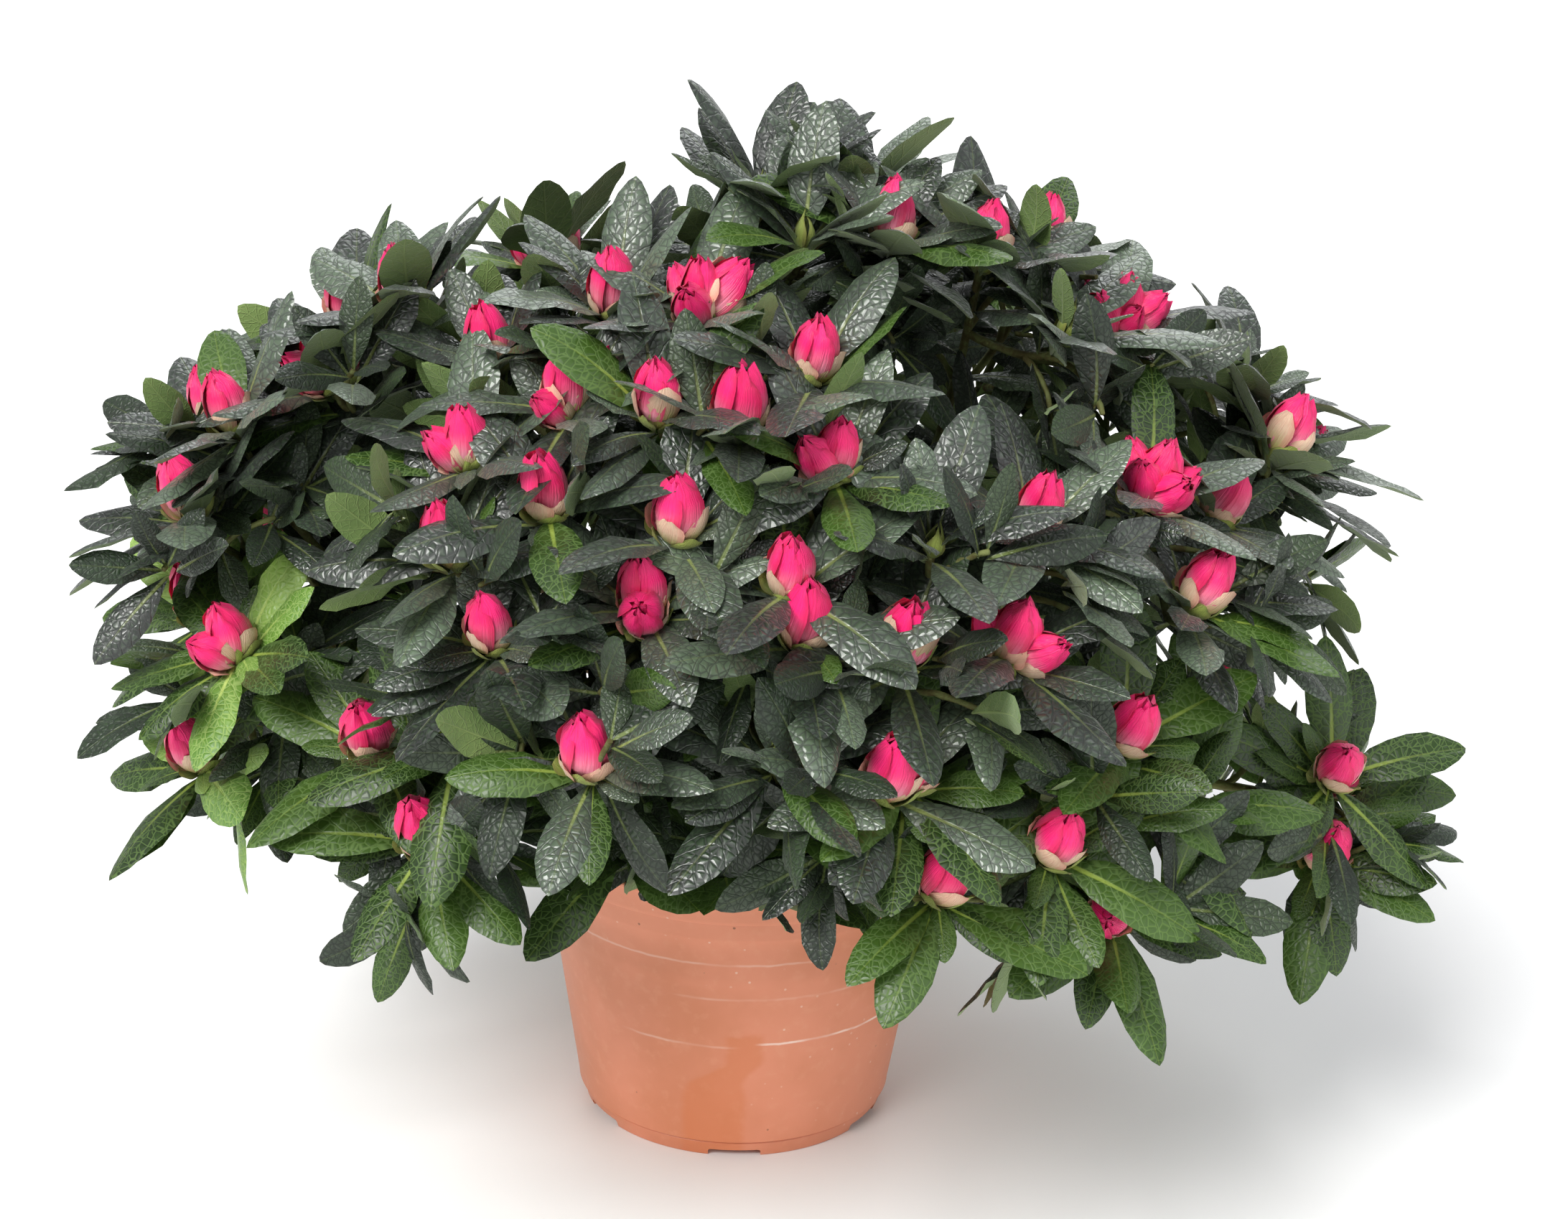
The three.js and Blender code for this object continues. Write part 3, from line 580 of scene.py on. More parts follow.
def growth(sizes):
    """Everything that grows, from the rule: boughs, twigs, leaves and buds."""
    boughs = []
    twigs = []
    outer_leaves = []
    inner_leaves = []
    buds = []

    def fill(limb, mass, facing, rng, shares):
        more_twigs, more_leaves = fill_sprays(limb, mass, facing, sizes, rng, shares)
        twigs.extend(more_twigs)
        inner_leaves.extend(more_leaves)

    for number, mass in enumerate(MASSES):
        bough = Limb(bough_curve(mass), *(MAIN_RADII if mass.source == "trunk" else SIDE_RADII))
        boughs.append(bough)
        facing = (middle_of(mass) - HEART).normalized()
        fill(bough, mass, facing, np.random.default_rng(BOUGH_SEED + number), BOUGH_SPRAYS)
        shoots = shoots_of(mass, number)
        limbs = twigs_of(mass, shoots)
        for shoot in shoots:
            limb = limbs[shoot.number]
            rng = np.random.default_rng(TWIG_SEED + shoot.number)
            twigs.append(limb)
            outer, inner = whorls_of(shoot, sizes)
            outer_leaves += outer
            inner_leaves += inner + side_leaves(limb, shoot, sizes, rng)
            fill(limb, mass, shoot.facing, rng, TWIG_SPRAYS)
            buds += buds_of(shoot)
    leaves = [clear_of_rim(leaf) for leaf in outer_leaves + clear_of_buds(inner_leaves, buds)]
    return boughs, twigs, leaves, buds


# Meshes from arrays

def joined_mesh(name, vertices, faces, materials, face_slots=None, uv=None, tone=None):
    """One object from arrays: faces is a list of arrays, each with one row of corners to a face."""
    mesh = bpy.data.meshes.new(name)
    sizes = np.concatenate([np.full(len(block), block.shape[1], np.int32) for block in faces])
    corners = np.concatenate([block.ravel() for block in faces]).astype(np.int32)
    starts = np.concatenate([[0], np.cumsum(sizes)[:-1]]).astype(np.int32)
    mesh.vertices.add(len(vertices))
    mesh.vertices.foreach_set("co", (vertices * MM).astype(np.float32).ravel())
    mesh.loops.add(len(corners))
    mesh.loops.foreach_set("vertex_index", corners)
    mesh.polygons.add(len(sizes))
    mesh.polygons.foreach_set("loop_start", starts)
    mesh.polygons.foreach_set("loop_total", sizes)
    mesh.update(calc_edges=True)
    if uv is not None:
        layer = mesh.uv_layers.new(name="surface")
        layer.data.foreach_set("uv", uv[corners].astype(np.float32).ravel())
    if tone is not None:
        attribute = mesh.attributes.new("tone", "FLOAT", "POINT")
        attribute.data.foreach_set("value", tone.astype(np.float32))
    for material in materials:
        mesh.materials.append(material)
    if face_slots is not None:
        mesh.polygons.foreach_set("material_index", face_slots.astype(np.int32))
    mesh.validate()
    piece = bpy.data.objects.new(name, mesh)
    bpy.context.collection.objects.link(piece)
    return piece


# Angles in degrees between faces, past which the edge between them stays sharp.
LIMB_SHARP = 60
LEAF_SHARP = 60
SHELL_SHARP = 70
POT_SHARP = 32
PEAT_SHARP = 80


def soften(piece, angle):
    """Smooth shading, but for edges sharper than an angle in degrees."""
    bpy.ops.object.select_all(action="DESELECT")
    piece.select_set(True)
    bpy.context.view_layer.objects.active = piece
    bpy.ops.object.shade_smooth_by_angle(angle=math.radians(angle))
    piece.select_set(False)


def grid_faces(rows, columns):
    """Quads of a grid of points, seen with the columns to the right and the rows upwards."""
    index = np.arange(rows * columns).reshape(rows, columns)
    corners = (index[:-1, :-1], index[:-1, 1:], index[1:, 1:], index[1:, :-1])
    return np.stack([corner.ravel() for corner in corners], axis=1)


def repeated(faces, count, step):
    """The faces of one shape, repeated for a number of copies whose points follow each other."""
    return (faces[None] + (np.arange(count) * step)[:, None, None]).reshape(-1, faces.shape[1])


# A tube's ends bulge by these shares of its radius, and its first ring starts square to the limb
# and to this direction.
FOOT_BULGE = 0.3
TIP_BULGE = 0.5
ASLANT = (0.3, -0.9, 0.2)


def tube(path, radii, sides, relief):
    """A closed tube round a path of points; relief gives a radius factor for each ring and side."""
    steps = len(path)
    forward = np.gradient(path, axis=0)
    forward /= np.linalg.norm(forward, axis=1)[:, None]
    right = np.cross(forward[0], ASLANT)
    frames = []
    for row in forward:
        right = right - row * right.dot(row)
        right /= np.linalg.norm(right)
        frames.append((right, np.cross(row, right)))
    right, out = np.array(frames).transpose(1, 0, 2)[:, :, None]
    angles = np.arange(sides) * 2 * np.pi / sides
    sweep = right * np.cos(angles)[None, :, None] + out * np.sin(angles)[None, :, None]
    rings = path[:, None] + (radii[:, None] * relief)[..., None] * sweep
    ends = np.array([
        path[0] - forward[0] * radii[0] * FOOT_BULGE,
        path[-1] + forward[-1] * radii[-1] * TIP_BULGE,
    ])
    vertices = np.concatenate([rings.reshape(-1, 3), ends])
    index = np.arange(steps * sides).reshape(steps, sides)
    after = np.roll(index, -1, axis=1)
    walls = np.stack([index[:-1], after[:-1], after[1:], index[1:]], axis=-1).reshape(-1, 4)
    foot, head = steps * sides, steps * sides + 1
    low = np.stack([np.full(sides, foot), after[0], index[0]], axis=1)
    high = np.stack([np.full(sides, head), index[-1], after[-1]], axis=1)
    return vertices, walls, np.concatenate([low, high])


def joined(parts):
    """Several (vertices, quads, triangles) made one."""
    first = 0
    vertices, quads, triangles = [], [], []
    for points, four, three in parts:
        vertices.append(points)
        quads.append(four + first)
        triangles.append(three + first)
        first += len(points)
    return np.concatenate(vertices), [np.concatenate(quads), np.concatenate(triangles)]


# How much whole rings of a limb swell, as a share of its knots, and how far any point may stray.
RING_SWELL = 0.8
SWELL_LIMITS = (0.75, 1.35)


def limb_tube(limb, sides, steps, rng, wander, knots):
    """A limb's tube, a little crooked, with rings and knobs where leaves and twigs once stood."""
    shares = np.linspace(0, 1, steps)
    path = np.array([point_on(limb.curve, share) for share in shares])
    sway = np.sin(np.pi * shares)[:, None] * np.cumsum(rng.normal(0, wander, (steps, 3)), axis=0)
    sway -= shares[:, None] * sway[-1]
    radii = limb.start_radius + (limb.end_radius - limb.start_radius) * shares
    relief = 1 + rng.normal(0, knots, (steps, sides))
    relief += rng.normal(0, knots * RING_SWELL, (steps, 1))
    return tube(path + sway, radii, sides, np.clip(relief, *SWELL_LIMITS))


# Materials. A fade has the two values between which it runs and, where they aren't 0 and 1, what it
# gives there. Places and relief are in metres, and scales are the number of waves or cells in one.

def add_node(tree, kind, inputs=(), **settings):
    node = tree.nodes.new("ShaderNode" + kind)
    for key, value in settings.items():
        setattr(node, key, value)
    for key, value in dict(inputs).items():
        if isinstance(value, bpy.types.NodeSocket):
            tree.links.new(value, node.inputs[key])
        else:
            node.inputs[key].default_value = value
    return node


def maths(tree, operation, first, second=0.0, third=0.0):
    inputs = {0: first, 1: second, 2: third}
    return add_node(tree, "Math", inputs, operation=operation).outputs[0]


def times(tree, first, second):
    return maths(tree, "MULTIPLY", first, second)


def apart(tree, first, second):
    """How far one value lies from another."""
    return maths(tree, "ABSOLUTE", maths(tree, "SUBTRACT", first, second))


def fade(tree, value, low, high, bottom=0.0, top=1.0):
    """A smooth step from bottom to top as the value goes from low to high."""
    inputs = {"Value": value, "From Min": low, "From Max": high, "To Min": bottom, "To Max": top}
    return add_node(tree, "MapRange", inputs, interpolation_type="SMOOTHSTEP").outputs[0]


def noise(tree, vector, scale, detail=3.0, roughness=0.55, distortion=0.0):
    inputs = {"Vector": vector, "Scale": scale, "Detail": detail, "Roughness": roughness,
              "Distortion": distortion}
    return add_node(tree, "TexNoise", inputs).outputs["Fac"]


def dots(tree, vector, scale):
    """The distance from the nearest of many scattered points."""
    return add_node(tree, "TexVoronoi", {"Vector": vector, "Scale": scale}).outputs["Distance"]


def object_place(tree):
    return add_node(tree, "TexCoord").outputs["Object"]


def own_tone(tree):
    """The random tone, 0 to 1, that each leaf or shell has."""
    return add_node(tree, "Attribute", attribute_name="tone").outputs["Fac"]


def surface_map(tree):
    """A leaf's or shell's own map, the distance from its middle line, and the way along it."""
    uv = add_node(tree, "UVMap", uv_map="surface").outputs[0]
    axes = add_node(tree, "SeparateXYZ", {0: uv})
    return uv, apart(tree, axes.outputs[0], 0.5), axes.outputs[1]


def new_finish(name, **fixed):
    """A material with one surface shader, whose uniform values are set on its own sockets."""
    material = bpy.data.materials.new(name)
    material.use_nodes = True
    tree = material.node_tree
    tree.nodes.clear()
    shader = tree.nodes.new("ShaderNodeBsdfPrincipled")
    output = tree.nodes.new("ShaderNodeOutputMaterial")
    tree.links.new(shader.outputs[0], output.inputs["Surface"])
    for key, value in fixed.items():
        shader.inputs[key.replace("_", " ")].default_value = value
    return material, tree, shader


def colour_layers(tree, shader, colour, layers):
    """Lays colours over the first one, each by its own share, as the shader's base colour."""
    for share, layer in layers:
        colour = add_node(tree, "Mix", {0: share, 6: colour, 7: layer}, data_type="RGBA").outputs[2]
    tree.links.new(colour, shader.inputs["Base Color"])


def relief_on(tree, shader, height, distance, strength):
    bump = add_node(tree, "Bump", {"Height": height, "Distance": distance, "Strength": strength})
    tree.links.new(bump.outputs["Normal"], shader.inputs["Normal"])


# Veins on a leaf's own map, which is one leaf long: the midrib's half width at foot and tip and the
# share of it that is level, how the side veins slant and wander, and the net of fine ones.
RIB_WIDTHS = (0.023, 0.006)
RIB_LEVEL_SHARE = 0.35
SIDE_VEINS = 7.5
SIDE_VEIN_SLANT = 1.15
SIDE_VEIN_WANDER = 0.09
SIDE_VEIN_WIDTH = 0.085
NET_CELLS = 18.5
NET_CHANCE = 0.9
NET_WIDTH = 0.1


def vein_lines(tree):
    """Masks of a leaf's midrib, its side veins and the net between them, from its own map."""
    uv, across, along = surface_map(tree)
    rib_width = fade(tree, along, 0.0, 1.0, *RIB_WIDTHS)
    rib = fade(tree, across, rib_width, times(tree, rib_width, RIB_LEVEL_SHARE))
    swept = maths(tree, "MULTIPLY_ADD", across, -SIDE_VEIN_SLANT, along)
    bent = maths(tree, "MULTIPLY_ADD", noise(tree, uv, 7.0, 2.0), SIDE_VEIN_WANDER, swept)
    wave = maths(tree, "PINGPONG", times(tree, bent, SIDE_VEINS), 0.5)
    side = fade(tree, wave, SIDE_VEIN_WIDTH, 0.0)
    inputs = {"Vector": uv, "Scale": NET_CELLS, "Randomness": NET_CHANCE}
    cells = add_node(tree, "TexVoronoi", inputs, feature="DISTANCE_TO_EDGE").outputs["Distance"]
    net = fade(tree, cells, NET_WIDTH, 0.0)
    return rib, side, net, along, cells


# A leaf's look. Its bloom colour is both the pale bloom of short hairs and a painted highlight on the
# tops of the puckered cells.
LeafLook = namedtuple("LeafLook", "base deep rib bloom lines roughness gloss sheen relief")


def leaf_finish(name, look):
    """The upper side of a leaf: puckered between sunken veins, with a pale bloom of short hairs,
    and the tops of the puckers lighter as a painted highlight.
    """
    material, tree, shader = new_finish(
        name, Sheen_Weight=look.sheen, Sheen_Roughness=0.4,
        Sheen_Tint=(0.86, 0.9, 0.86, 1), Specular_IOR_Level=look.gloss,
    )
    rib, side, net, along, cells = vein_lines(tree)
    place = object_place(tree)
    tone = own_tone(tree)
    patches = noise(tree, place, 60.0, 3.0)
    hairs = noise(tree, place, 900.0, 2.0)
    lines = maths(tree, "MAXIMUM", times(tree, side, 0.7), net)
    colour_layers(tree, shader, look.deep, (
        (fade(tree, patches, 0.35, 0.68), look.base),
        (fade(tree, tone, 0.3, 1.0, 0.0, 0.6), look.bloom),
        (fade(tree, tone, 0.35, 0.0, 0.0, 0.6), look.deep),
        # Painted highlight: the tops of the puckered cells are lightened towards the pale bloom colour.
        (fade(tree, cells, 0.05, 0.3, 0.0, 0.22), look.bloom),
        # Painted shade: on dusky and shaded leaves the lines colour darkens the vein net, as shade in the
        # sunken veins. On fresh and young leaves it is the veins' own paler colour.
        (times(tree, lines, 0.72), look.lines),
        (fade(tree, hairs, 0.62, 0.78, 0.0, 0.2), look.bloom),
        (times(tree, rib, fade(tree, along, 0.75, 0.05, 0.15, 0.95)), look.rib),
    ))
    dull = maths(tree, "MULTIPLY_ADD", lines, 0.32, look.roughness)
    tree.links.new(dull, shader.inputs["Roughness"])
    dome = fade(tree, cells, 0.0, 0.32, 0.0, 0.7)
    height = maths(tree, "SUBTRACT", dome, maths(tree, "MAXIMUM", side, rib))
    relief_on(tree, shader, height, 0.0007, look.relief)
    return material


def underside_finish(name, base, vein):
    """The underside of a leaf: pale and dull, with raised veins."""
    material, tree, shader = new_finish(
        name, Roughness=0.62, Sheen_Weight=0.2, Specular_IOR_Level=0.3,
    )
    rib, side, net = vein_lines(tree)[:3]
    lines = maths(tree, "MAXIMUM", maths(tree, "MAXIMUM", side, rib), times(tree, net, 0.4))
    patches = noise(tree, object_place(tree), 50.0, 2.0)
    colour_layers(tree, shader, base, (
        (fade(tree, patches, 0.3, 0.7, 0.0, 0.4), vein),
        (times(tree, lines, 0.55), vein),
    ))
    relief_on(tree, shader, lines, 0.0004, 0.6)
    return material


def petal_finish(name, base, tip, deep, roughness=0.5):
    """Petals, bracts and scales: streaked lengthways, and changing colour from foot to tip."""
    material, tree, shader = new_finish(
        name, Roughness=roughness, Sheen_Weight=0.1, Specular_IOR_Level=0.45,
    )
    uv, across, along = surface_map(tree)
    stretched = add_node(tree, "Mapping", {"Vector": uv, "Scale": (26.0, 1.2, 1.0)}).outputs[0]
    streaks = noise(tree, stretched, 1.0, 3.0)
    patches = noise(tree, object_place(tree), 160.0, 3.0)
    colour_layers(tree, shader, base, (
        (fade(tree, along, 0.16, 0.74), tip),
        # Darker towards each shell's sides: on the petals this is painted shade in the creases where they
        # lap.
        (fade(tree, across, 0.28, 0.5, 0.0, 0.7), deep),
        (fade(tree, streaks, 0.42, 0.7, 0.0, 0.55), deep),
        (fade(tree, patches, 0.45, 0.75, 0.0, 0.35), deep),
        (fade(tree, own_tone(tree), 0.6, 1.0, 0.0, 0.4), deep),
    ))
    relief_on(tree, shader, streaks, 0.0006, 0.8)
    return material


def bark_finish(name, base, dark, light, scale):
    """Bark or a twig's skin: dark in its cracks, with pale patches and flecks."""
    material, tree, shader = new_finish(name, Roughness=0.78, Specular_IOR_Level=0.25)
    place = object_place(tree)
    grain = noise(tree, place, scale, 5.0, 0.65, 0.4)
    patches = noise(tree, place, scale * 0.22, 3.0)
    flecks = dots(tree, place, scale * 1.3)
    colour_layers(tree, shader, dark, (
        (fade(tree, grain, 0.38, 0.62), base),
        (fade(tree, patches, 0.5, 0.75, 0.0, 0.6), light),
        (fade(tree, flecks, 0.16, 0.05, 0.0, 0.5), light),
    ))
    relief_on(tree, shader, grain, 0.0007, 0.9)
    return material


# Scuffs round the pot: level, where each starts and ends from left to right, and how strong it is.
Scuff = namedtuple("Scuff", "level start end share")
SCUFFS = (
    Scuff(0.0425, 0.006, 0.062, 0.8),
    Scuff(0.0415, -0.034, 0.004, 0.3),
    Scuff(0.0705, -0.05, 0.03, 0.3),
    Scuff(0.0585, -0.02, 0.055, 0.2),
)


def scuff_mask(tree, scuff, side, height, wobble, patches):
    """A level rub mark, that fades in at its left end and out at its right."""
    off = apart(tree, maths(tree, "MULTIPLY_ADD", wobble, 0.0012, height), scuff.level)
    mask = fade(tree, off, 0.0006, 0.0001)
    mask = times(tree, mask, fade(tree, side, scuff.start, scuff.start + 0.006))
    mask = times(tree, mask, fade(tree, side, scuff.end, scuff.end - 0.01))
    return times(tree, mask, fade(tree, patches, 0.35, 0.6, scuff.share * 0.3, scuff.share))


def stain_mask(tree, side, height, wobble):
    """A damp stain up from the foot, which leans to the right and narrows, with a ragged edge."""
    middle = fade(tree, height, 0.026, 0.036, -0.0048, 0.0036)
    breadth = fade(tree, height, 0.022, 0.034, 0.0085, 0.005)
    off = maths(tree, "MULTIPLY_ADD", wobble, 0.003, apart(tree, side, middle))
    mask = fade(tree, maths(tree, "SUBTRACT", off, breadth), 0.0035, 0.0006, 0.0, 0.5)
    level = maths(tree, "MULTIPLY_ADD", wobble, 0.004, height)
    return times(tree, mask, fade(tree, level, 0.048, 0.046))


def pot_finish(settings):
    """Moulded terracotta plastic with a handled, damp and dusty surface."""
    material, tree, shader = new_finish("terracotta plastic", Specular_IOR_Level=0.4)
    place = object_place(tree)
    axes = add_node(tree, "SeparateXYZ", {0: place})
    side, depth, height = axes.outputs
    front = fade(tree, depth, -0.02, -0.03)
    cloud = noise(tree, place, 22.0, 4.0)
    fine = noise(tree, place, 240.0, 3.0)
    wobble = noise(tree, place, 120.0, 3.0)
    patches = noise(tree, place, 70.0, 2.0)
    stain = times(tree, stain_mask(tree, side, height, wobble), front)
    scuffs = [
        times(tree, scuff_mask(tree, scuff, side, height, wobble, patches), front)
        for scuff in SCUFFS
    ]
    dust = times(tree, fade(tree, dots(tree, place, 210.0), 0.11, 0.05, 0.0, 0.5),
                 fade(tree, cloud, 0.5, 0.62))
    grit = times(tree, fade(tree, dots(tree, place, 120.0), 0.07, 0.03, 0.0, 0.7),
                 fade(tree, wobble, 0.52, 0.6))
    colour_layers(tree, shader, paint(208, 130, 95), (
        (fade(tree, cloud, 0.36, 0.66), tuple(settings.colour)),
        (fade(tree, fine, 0.5, 0.75, 0.0, 0.25), paint(228, 160, 128)),
        (stain, paint(208, 118, 70)),
        *((scuff, paint(250, 226, 212)) for scuff in scuffs),
        (dust, paint(240, 214, 196)),
        (grit, paint(96, 60, 42)),
    ))
    tree.links.new(fade(tree, cloud, 0.3, 0.7, 0.36, 0.52), shader.inputs["Roughness"])
    relief_on(tree, shader, fine, 0.0001, 0.35)
    return material


def peat_finish():
    """Dark crumbly peat with paler fibres and a green tinge in places."""
    material, tree, shader = new_finish("fibrous peat", Roughness=0.93, Specular_IOR_Level=0.15)
    place = object_place(tree)
    crumbs = noise(tree, place, 260.0, 5.0, 0.7)
    patches = noise(tree, place, 60.0, 3.0)
    colour_layers(tree, shader, paint(34, 26, 20), (
        (fade(tree, crumbs, 0.38, 0.66), paint(84, 64, 48)),
        (fade(tree, patches, 0.5, 0.75, 0.0, 0.5), paint(58, 54, 40)),
    ))
    relief_on(tree, shader, crumbs, 0.0012, 1.0)
    return material


def floor_finish(settings):
    material, tree, shader = new_finish("pale floor", Roughness=0.85, Specular_IOR_Level=0.15)
    pale = tuple(settings.floor_colour)
    softer = tuple(value * 0.97 for value in pale[:3]) + (1,)
    cloud = noise(tree, object_place(tree), 3.0, 2.0)
    colour_layers(tree, shader, pale, ((cloud, softer),))
    return material


# Sizes and colours

class FoliageSizes(bpy.types.PropertyGroup):
    """Sizes and colours of the leaves and buds"""
    leaf_length: FloatProperty(
        name="Leaf length", description="Length of a full-grown leaf", default=0.041,
        min=0.01, subtype="DISTANCE", unit="LENGTH",
    )
    leaf_ratio: FloatProperty(
        name="Leaf width share", description="Width of a leaf as a share of its length",
        default=0.37, min=0.1, max=1.0, subtype="FACTOR",
    )
    bud_length: FloatProperty(
        name="Bud length", description="Length of a large flower bud", default=0.0195,
        min=0.005, subtype="DISTANCE", unit="LENGTH",
    )
    dusky: FloatVectorProperty(
        name="Dusky leaf", description="Leaves of the upper crown", size=4, subtype="COLOR",
        default=paint(28, 45, 28), min=0, max=1,
    )
    fresh: FloatVectorProperty(
        name="Fresh leaf", description="Leaves of the low and outer sprays", size=4,
        subtype="COLOR", default=paint(38, 63, 13), min=0, max=1,
    )
    petal: FloatVectorProperty(
        name="Petal", description="Tips of the flower buds", size=4, subtype="COLOR",
        default=paint(254, 32, 122), min=0, max=1,
    )


class WoodSizes(bpy.types.PropertyGroup):
    """Sizes and colours of the trunk, boughs and twigs"""
    trunk_foot: FloatProperty(
        name="Trunk foot", description="Radius of the trunk just above the peat",
        default=0.0072, min=0.001, subtype="DISTANCE", unit="LENGTH",
    )
    trunk_head: FloatProperty(
        name="Trunk head", description="Radius of the trunk where the boughs leave it",
        default=0.0054, min=0.001, subtype="DISTANCE", unit="LENGTH",
    )
    bark: FloatVectorProperty(
        name="Bark", description="Bark of the trunk and boughs", size=4, subtype="COLOR",
        default=paint(106, 88, 66), min=0, max=1,
    )
    twig: FloatVectorProperty(
        name="Twig", description="Skin of the young twigs", size=4, subtype="COLOR",
        default=paint(104, 112, 66), min=0, max=1,
    )


class PotSizes(bpy.types.PropertyGroup):
    """Sizes and colour of the pot and its peat"""
    height: FloatProperty(
        name="Pot height", description="Height of the pot's rim above the floor",
        default=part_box("pot")[1][2], min=0.01, subtype="DISTANCE", unit="LENGTH",
    )
    rim: FloatProperty(
        name="Rim radius", description="Outside radius of the pot's rim", default=0.065,
        min=0.01, subtype="DISTANCE", unit="LENGTH",
    )
    foot: FloatProperty(
        name="Foot radius", description="Outside radius of the pot's foot", default=0.0466,
        min=0.01, subtype="DISTANCE", unit="LENGTH",
    )
    wall: FloatProperty(
        name="Wall", description="Thickness of the pot's wall", default=0.0014,
        min=0.0005, subtype="DISTANCE", unit="LENGTH",
    )
    sides: IntProperty(name="Sides", description="Straight sides round the pot", default=120, min=24)
    colour: FloatVectorProperty(
        name="Terracotta", description="Colour of the pot's plastic", size=4, subtype="COLOR",
        default=paint(223, 143, 112), min=0, max=1,
    )


class StudioSettings(bpy.types.PropertyGroup):
    """Floor, lights and camera"""
    floor_colour: FloatVectorProperty(
        name="Floor", description="Colour of the floor", size=4, subtype="COLOR",
        default=paint(240, 240, 240), min=0, max=1,
    )
    camera_distance: FloatProperty(
        name="Camera distance", description="From the camera to the point it looks at",
        default=0.9, min=0.1, subtype="DISTANCE", unit="LENGTH",
    )
    camera_pitch: FloatProperty(
        name="Camera pitch", description="How steeply the camera looks down",
        default=math.radians(19.5), subtype="ANGLE", unit="ROTATION",
    )
    camera_roll: FloatProperty(
        name="Camera roll", description="Turn of the camera about its own line of sight",
        default=math.radians(2.0), subtype="ANGLE", unit="ROTATION",
    )


# Pieces made from arrays

# A blade: where its rings of points stand along it, its breadth at its foot, rings and tip, and
# where the points of a ring stand across it. One more point of each ring lies under the midrib.
LEAF_STATIONS = np.array([0.05, 0.16, 0.3, 0.45, 0.6, 0.75, 0.88, 0.965])
LEAF_OUTLINE = np.array([0.0, 0.11, 0.37, 0.71, 0.94, 1.0, 0.88, 0.6, 0.27, 0.0])
LEAF_COLUMNS = np.array([-1.0, -0.52, 0.0, 0.52, 1.0])
LEAF_RING = len(LEAF_COLUMNS) + 1

# How blades differ: the bend along them and the share of it with which they start upwards, their
# breadth, the fold at the midrib, the curl of the margins, and the waves of the edge.
BLADE_BENDS = (0.15, 0.75)
BLADE_STARTS = (0.4, 0.6)
BLADE_BREADTHS = (0.9, 1.08)
BLADE_FOLDS = (0.1, 0.36)
BLADE_CURLS = (0.24, 0.6)
BLADE_WAVES = (0.2, 0.9)
BLADE_TWIST = 0.5
BEND_GROWTH = 1.2
WAVES_ALONG = 15
WAVES_ACROSS = 1.3
WAVE_GROWTH = 1.5
# The midrib's groove, and how thick the blade is under it at its tip and more so at its foot.
RIB_GROOVE = 0.3
RIB_THICKNESS = 0.35
RIB_FOOT_THICKNESS = 0.5


def blade_faces():
    """One closed blade: quads and triangles, and which of them are on its underside."""
    rings = 1 + np.arange(len(LEAF_STATIONS) * LEAF_RING).reshape(-1, LEAF_RING)
    tip = len(LEAF_STATIONS) * LEAF_RING + 1
    strips = len(LEAF_COLUMNS) - 1
    quads = []
    under = []
    for low, high in zip(rings, rings[1:]):
        for j in range(strips):
            quads.append((low[j], low[j + 1], high[j + 1], high[j]))
            under.append(0)
        quads.append((low[0], high[0], high[-1], low[-1]))
        quads.append((low[-1], high[-1], high[-2], low[-2]))
        under += [1, 1]
    first, last = rings[0], rings[-1]
    triangles = [(0, first[j + 1], first[j]) for j in range(strips)]
    triangles += [(last[j], last[j + 1], tip) for j in range(strips)]
    triangle_under = [0] * len(triangles) + [1] * 4
    triangles += [(0, first[0], first[-1]), (0, first[-1], first[-2])]
    triangles += [(last[-1], last[0], tip), (last[-2], last[-1], tip)]
    return np.array(quads), np.array(triangles), np.array(under), np.array(triangle_under)


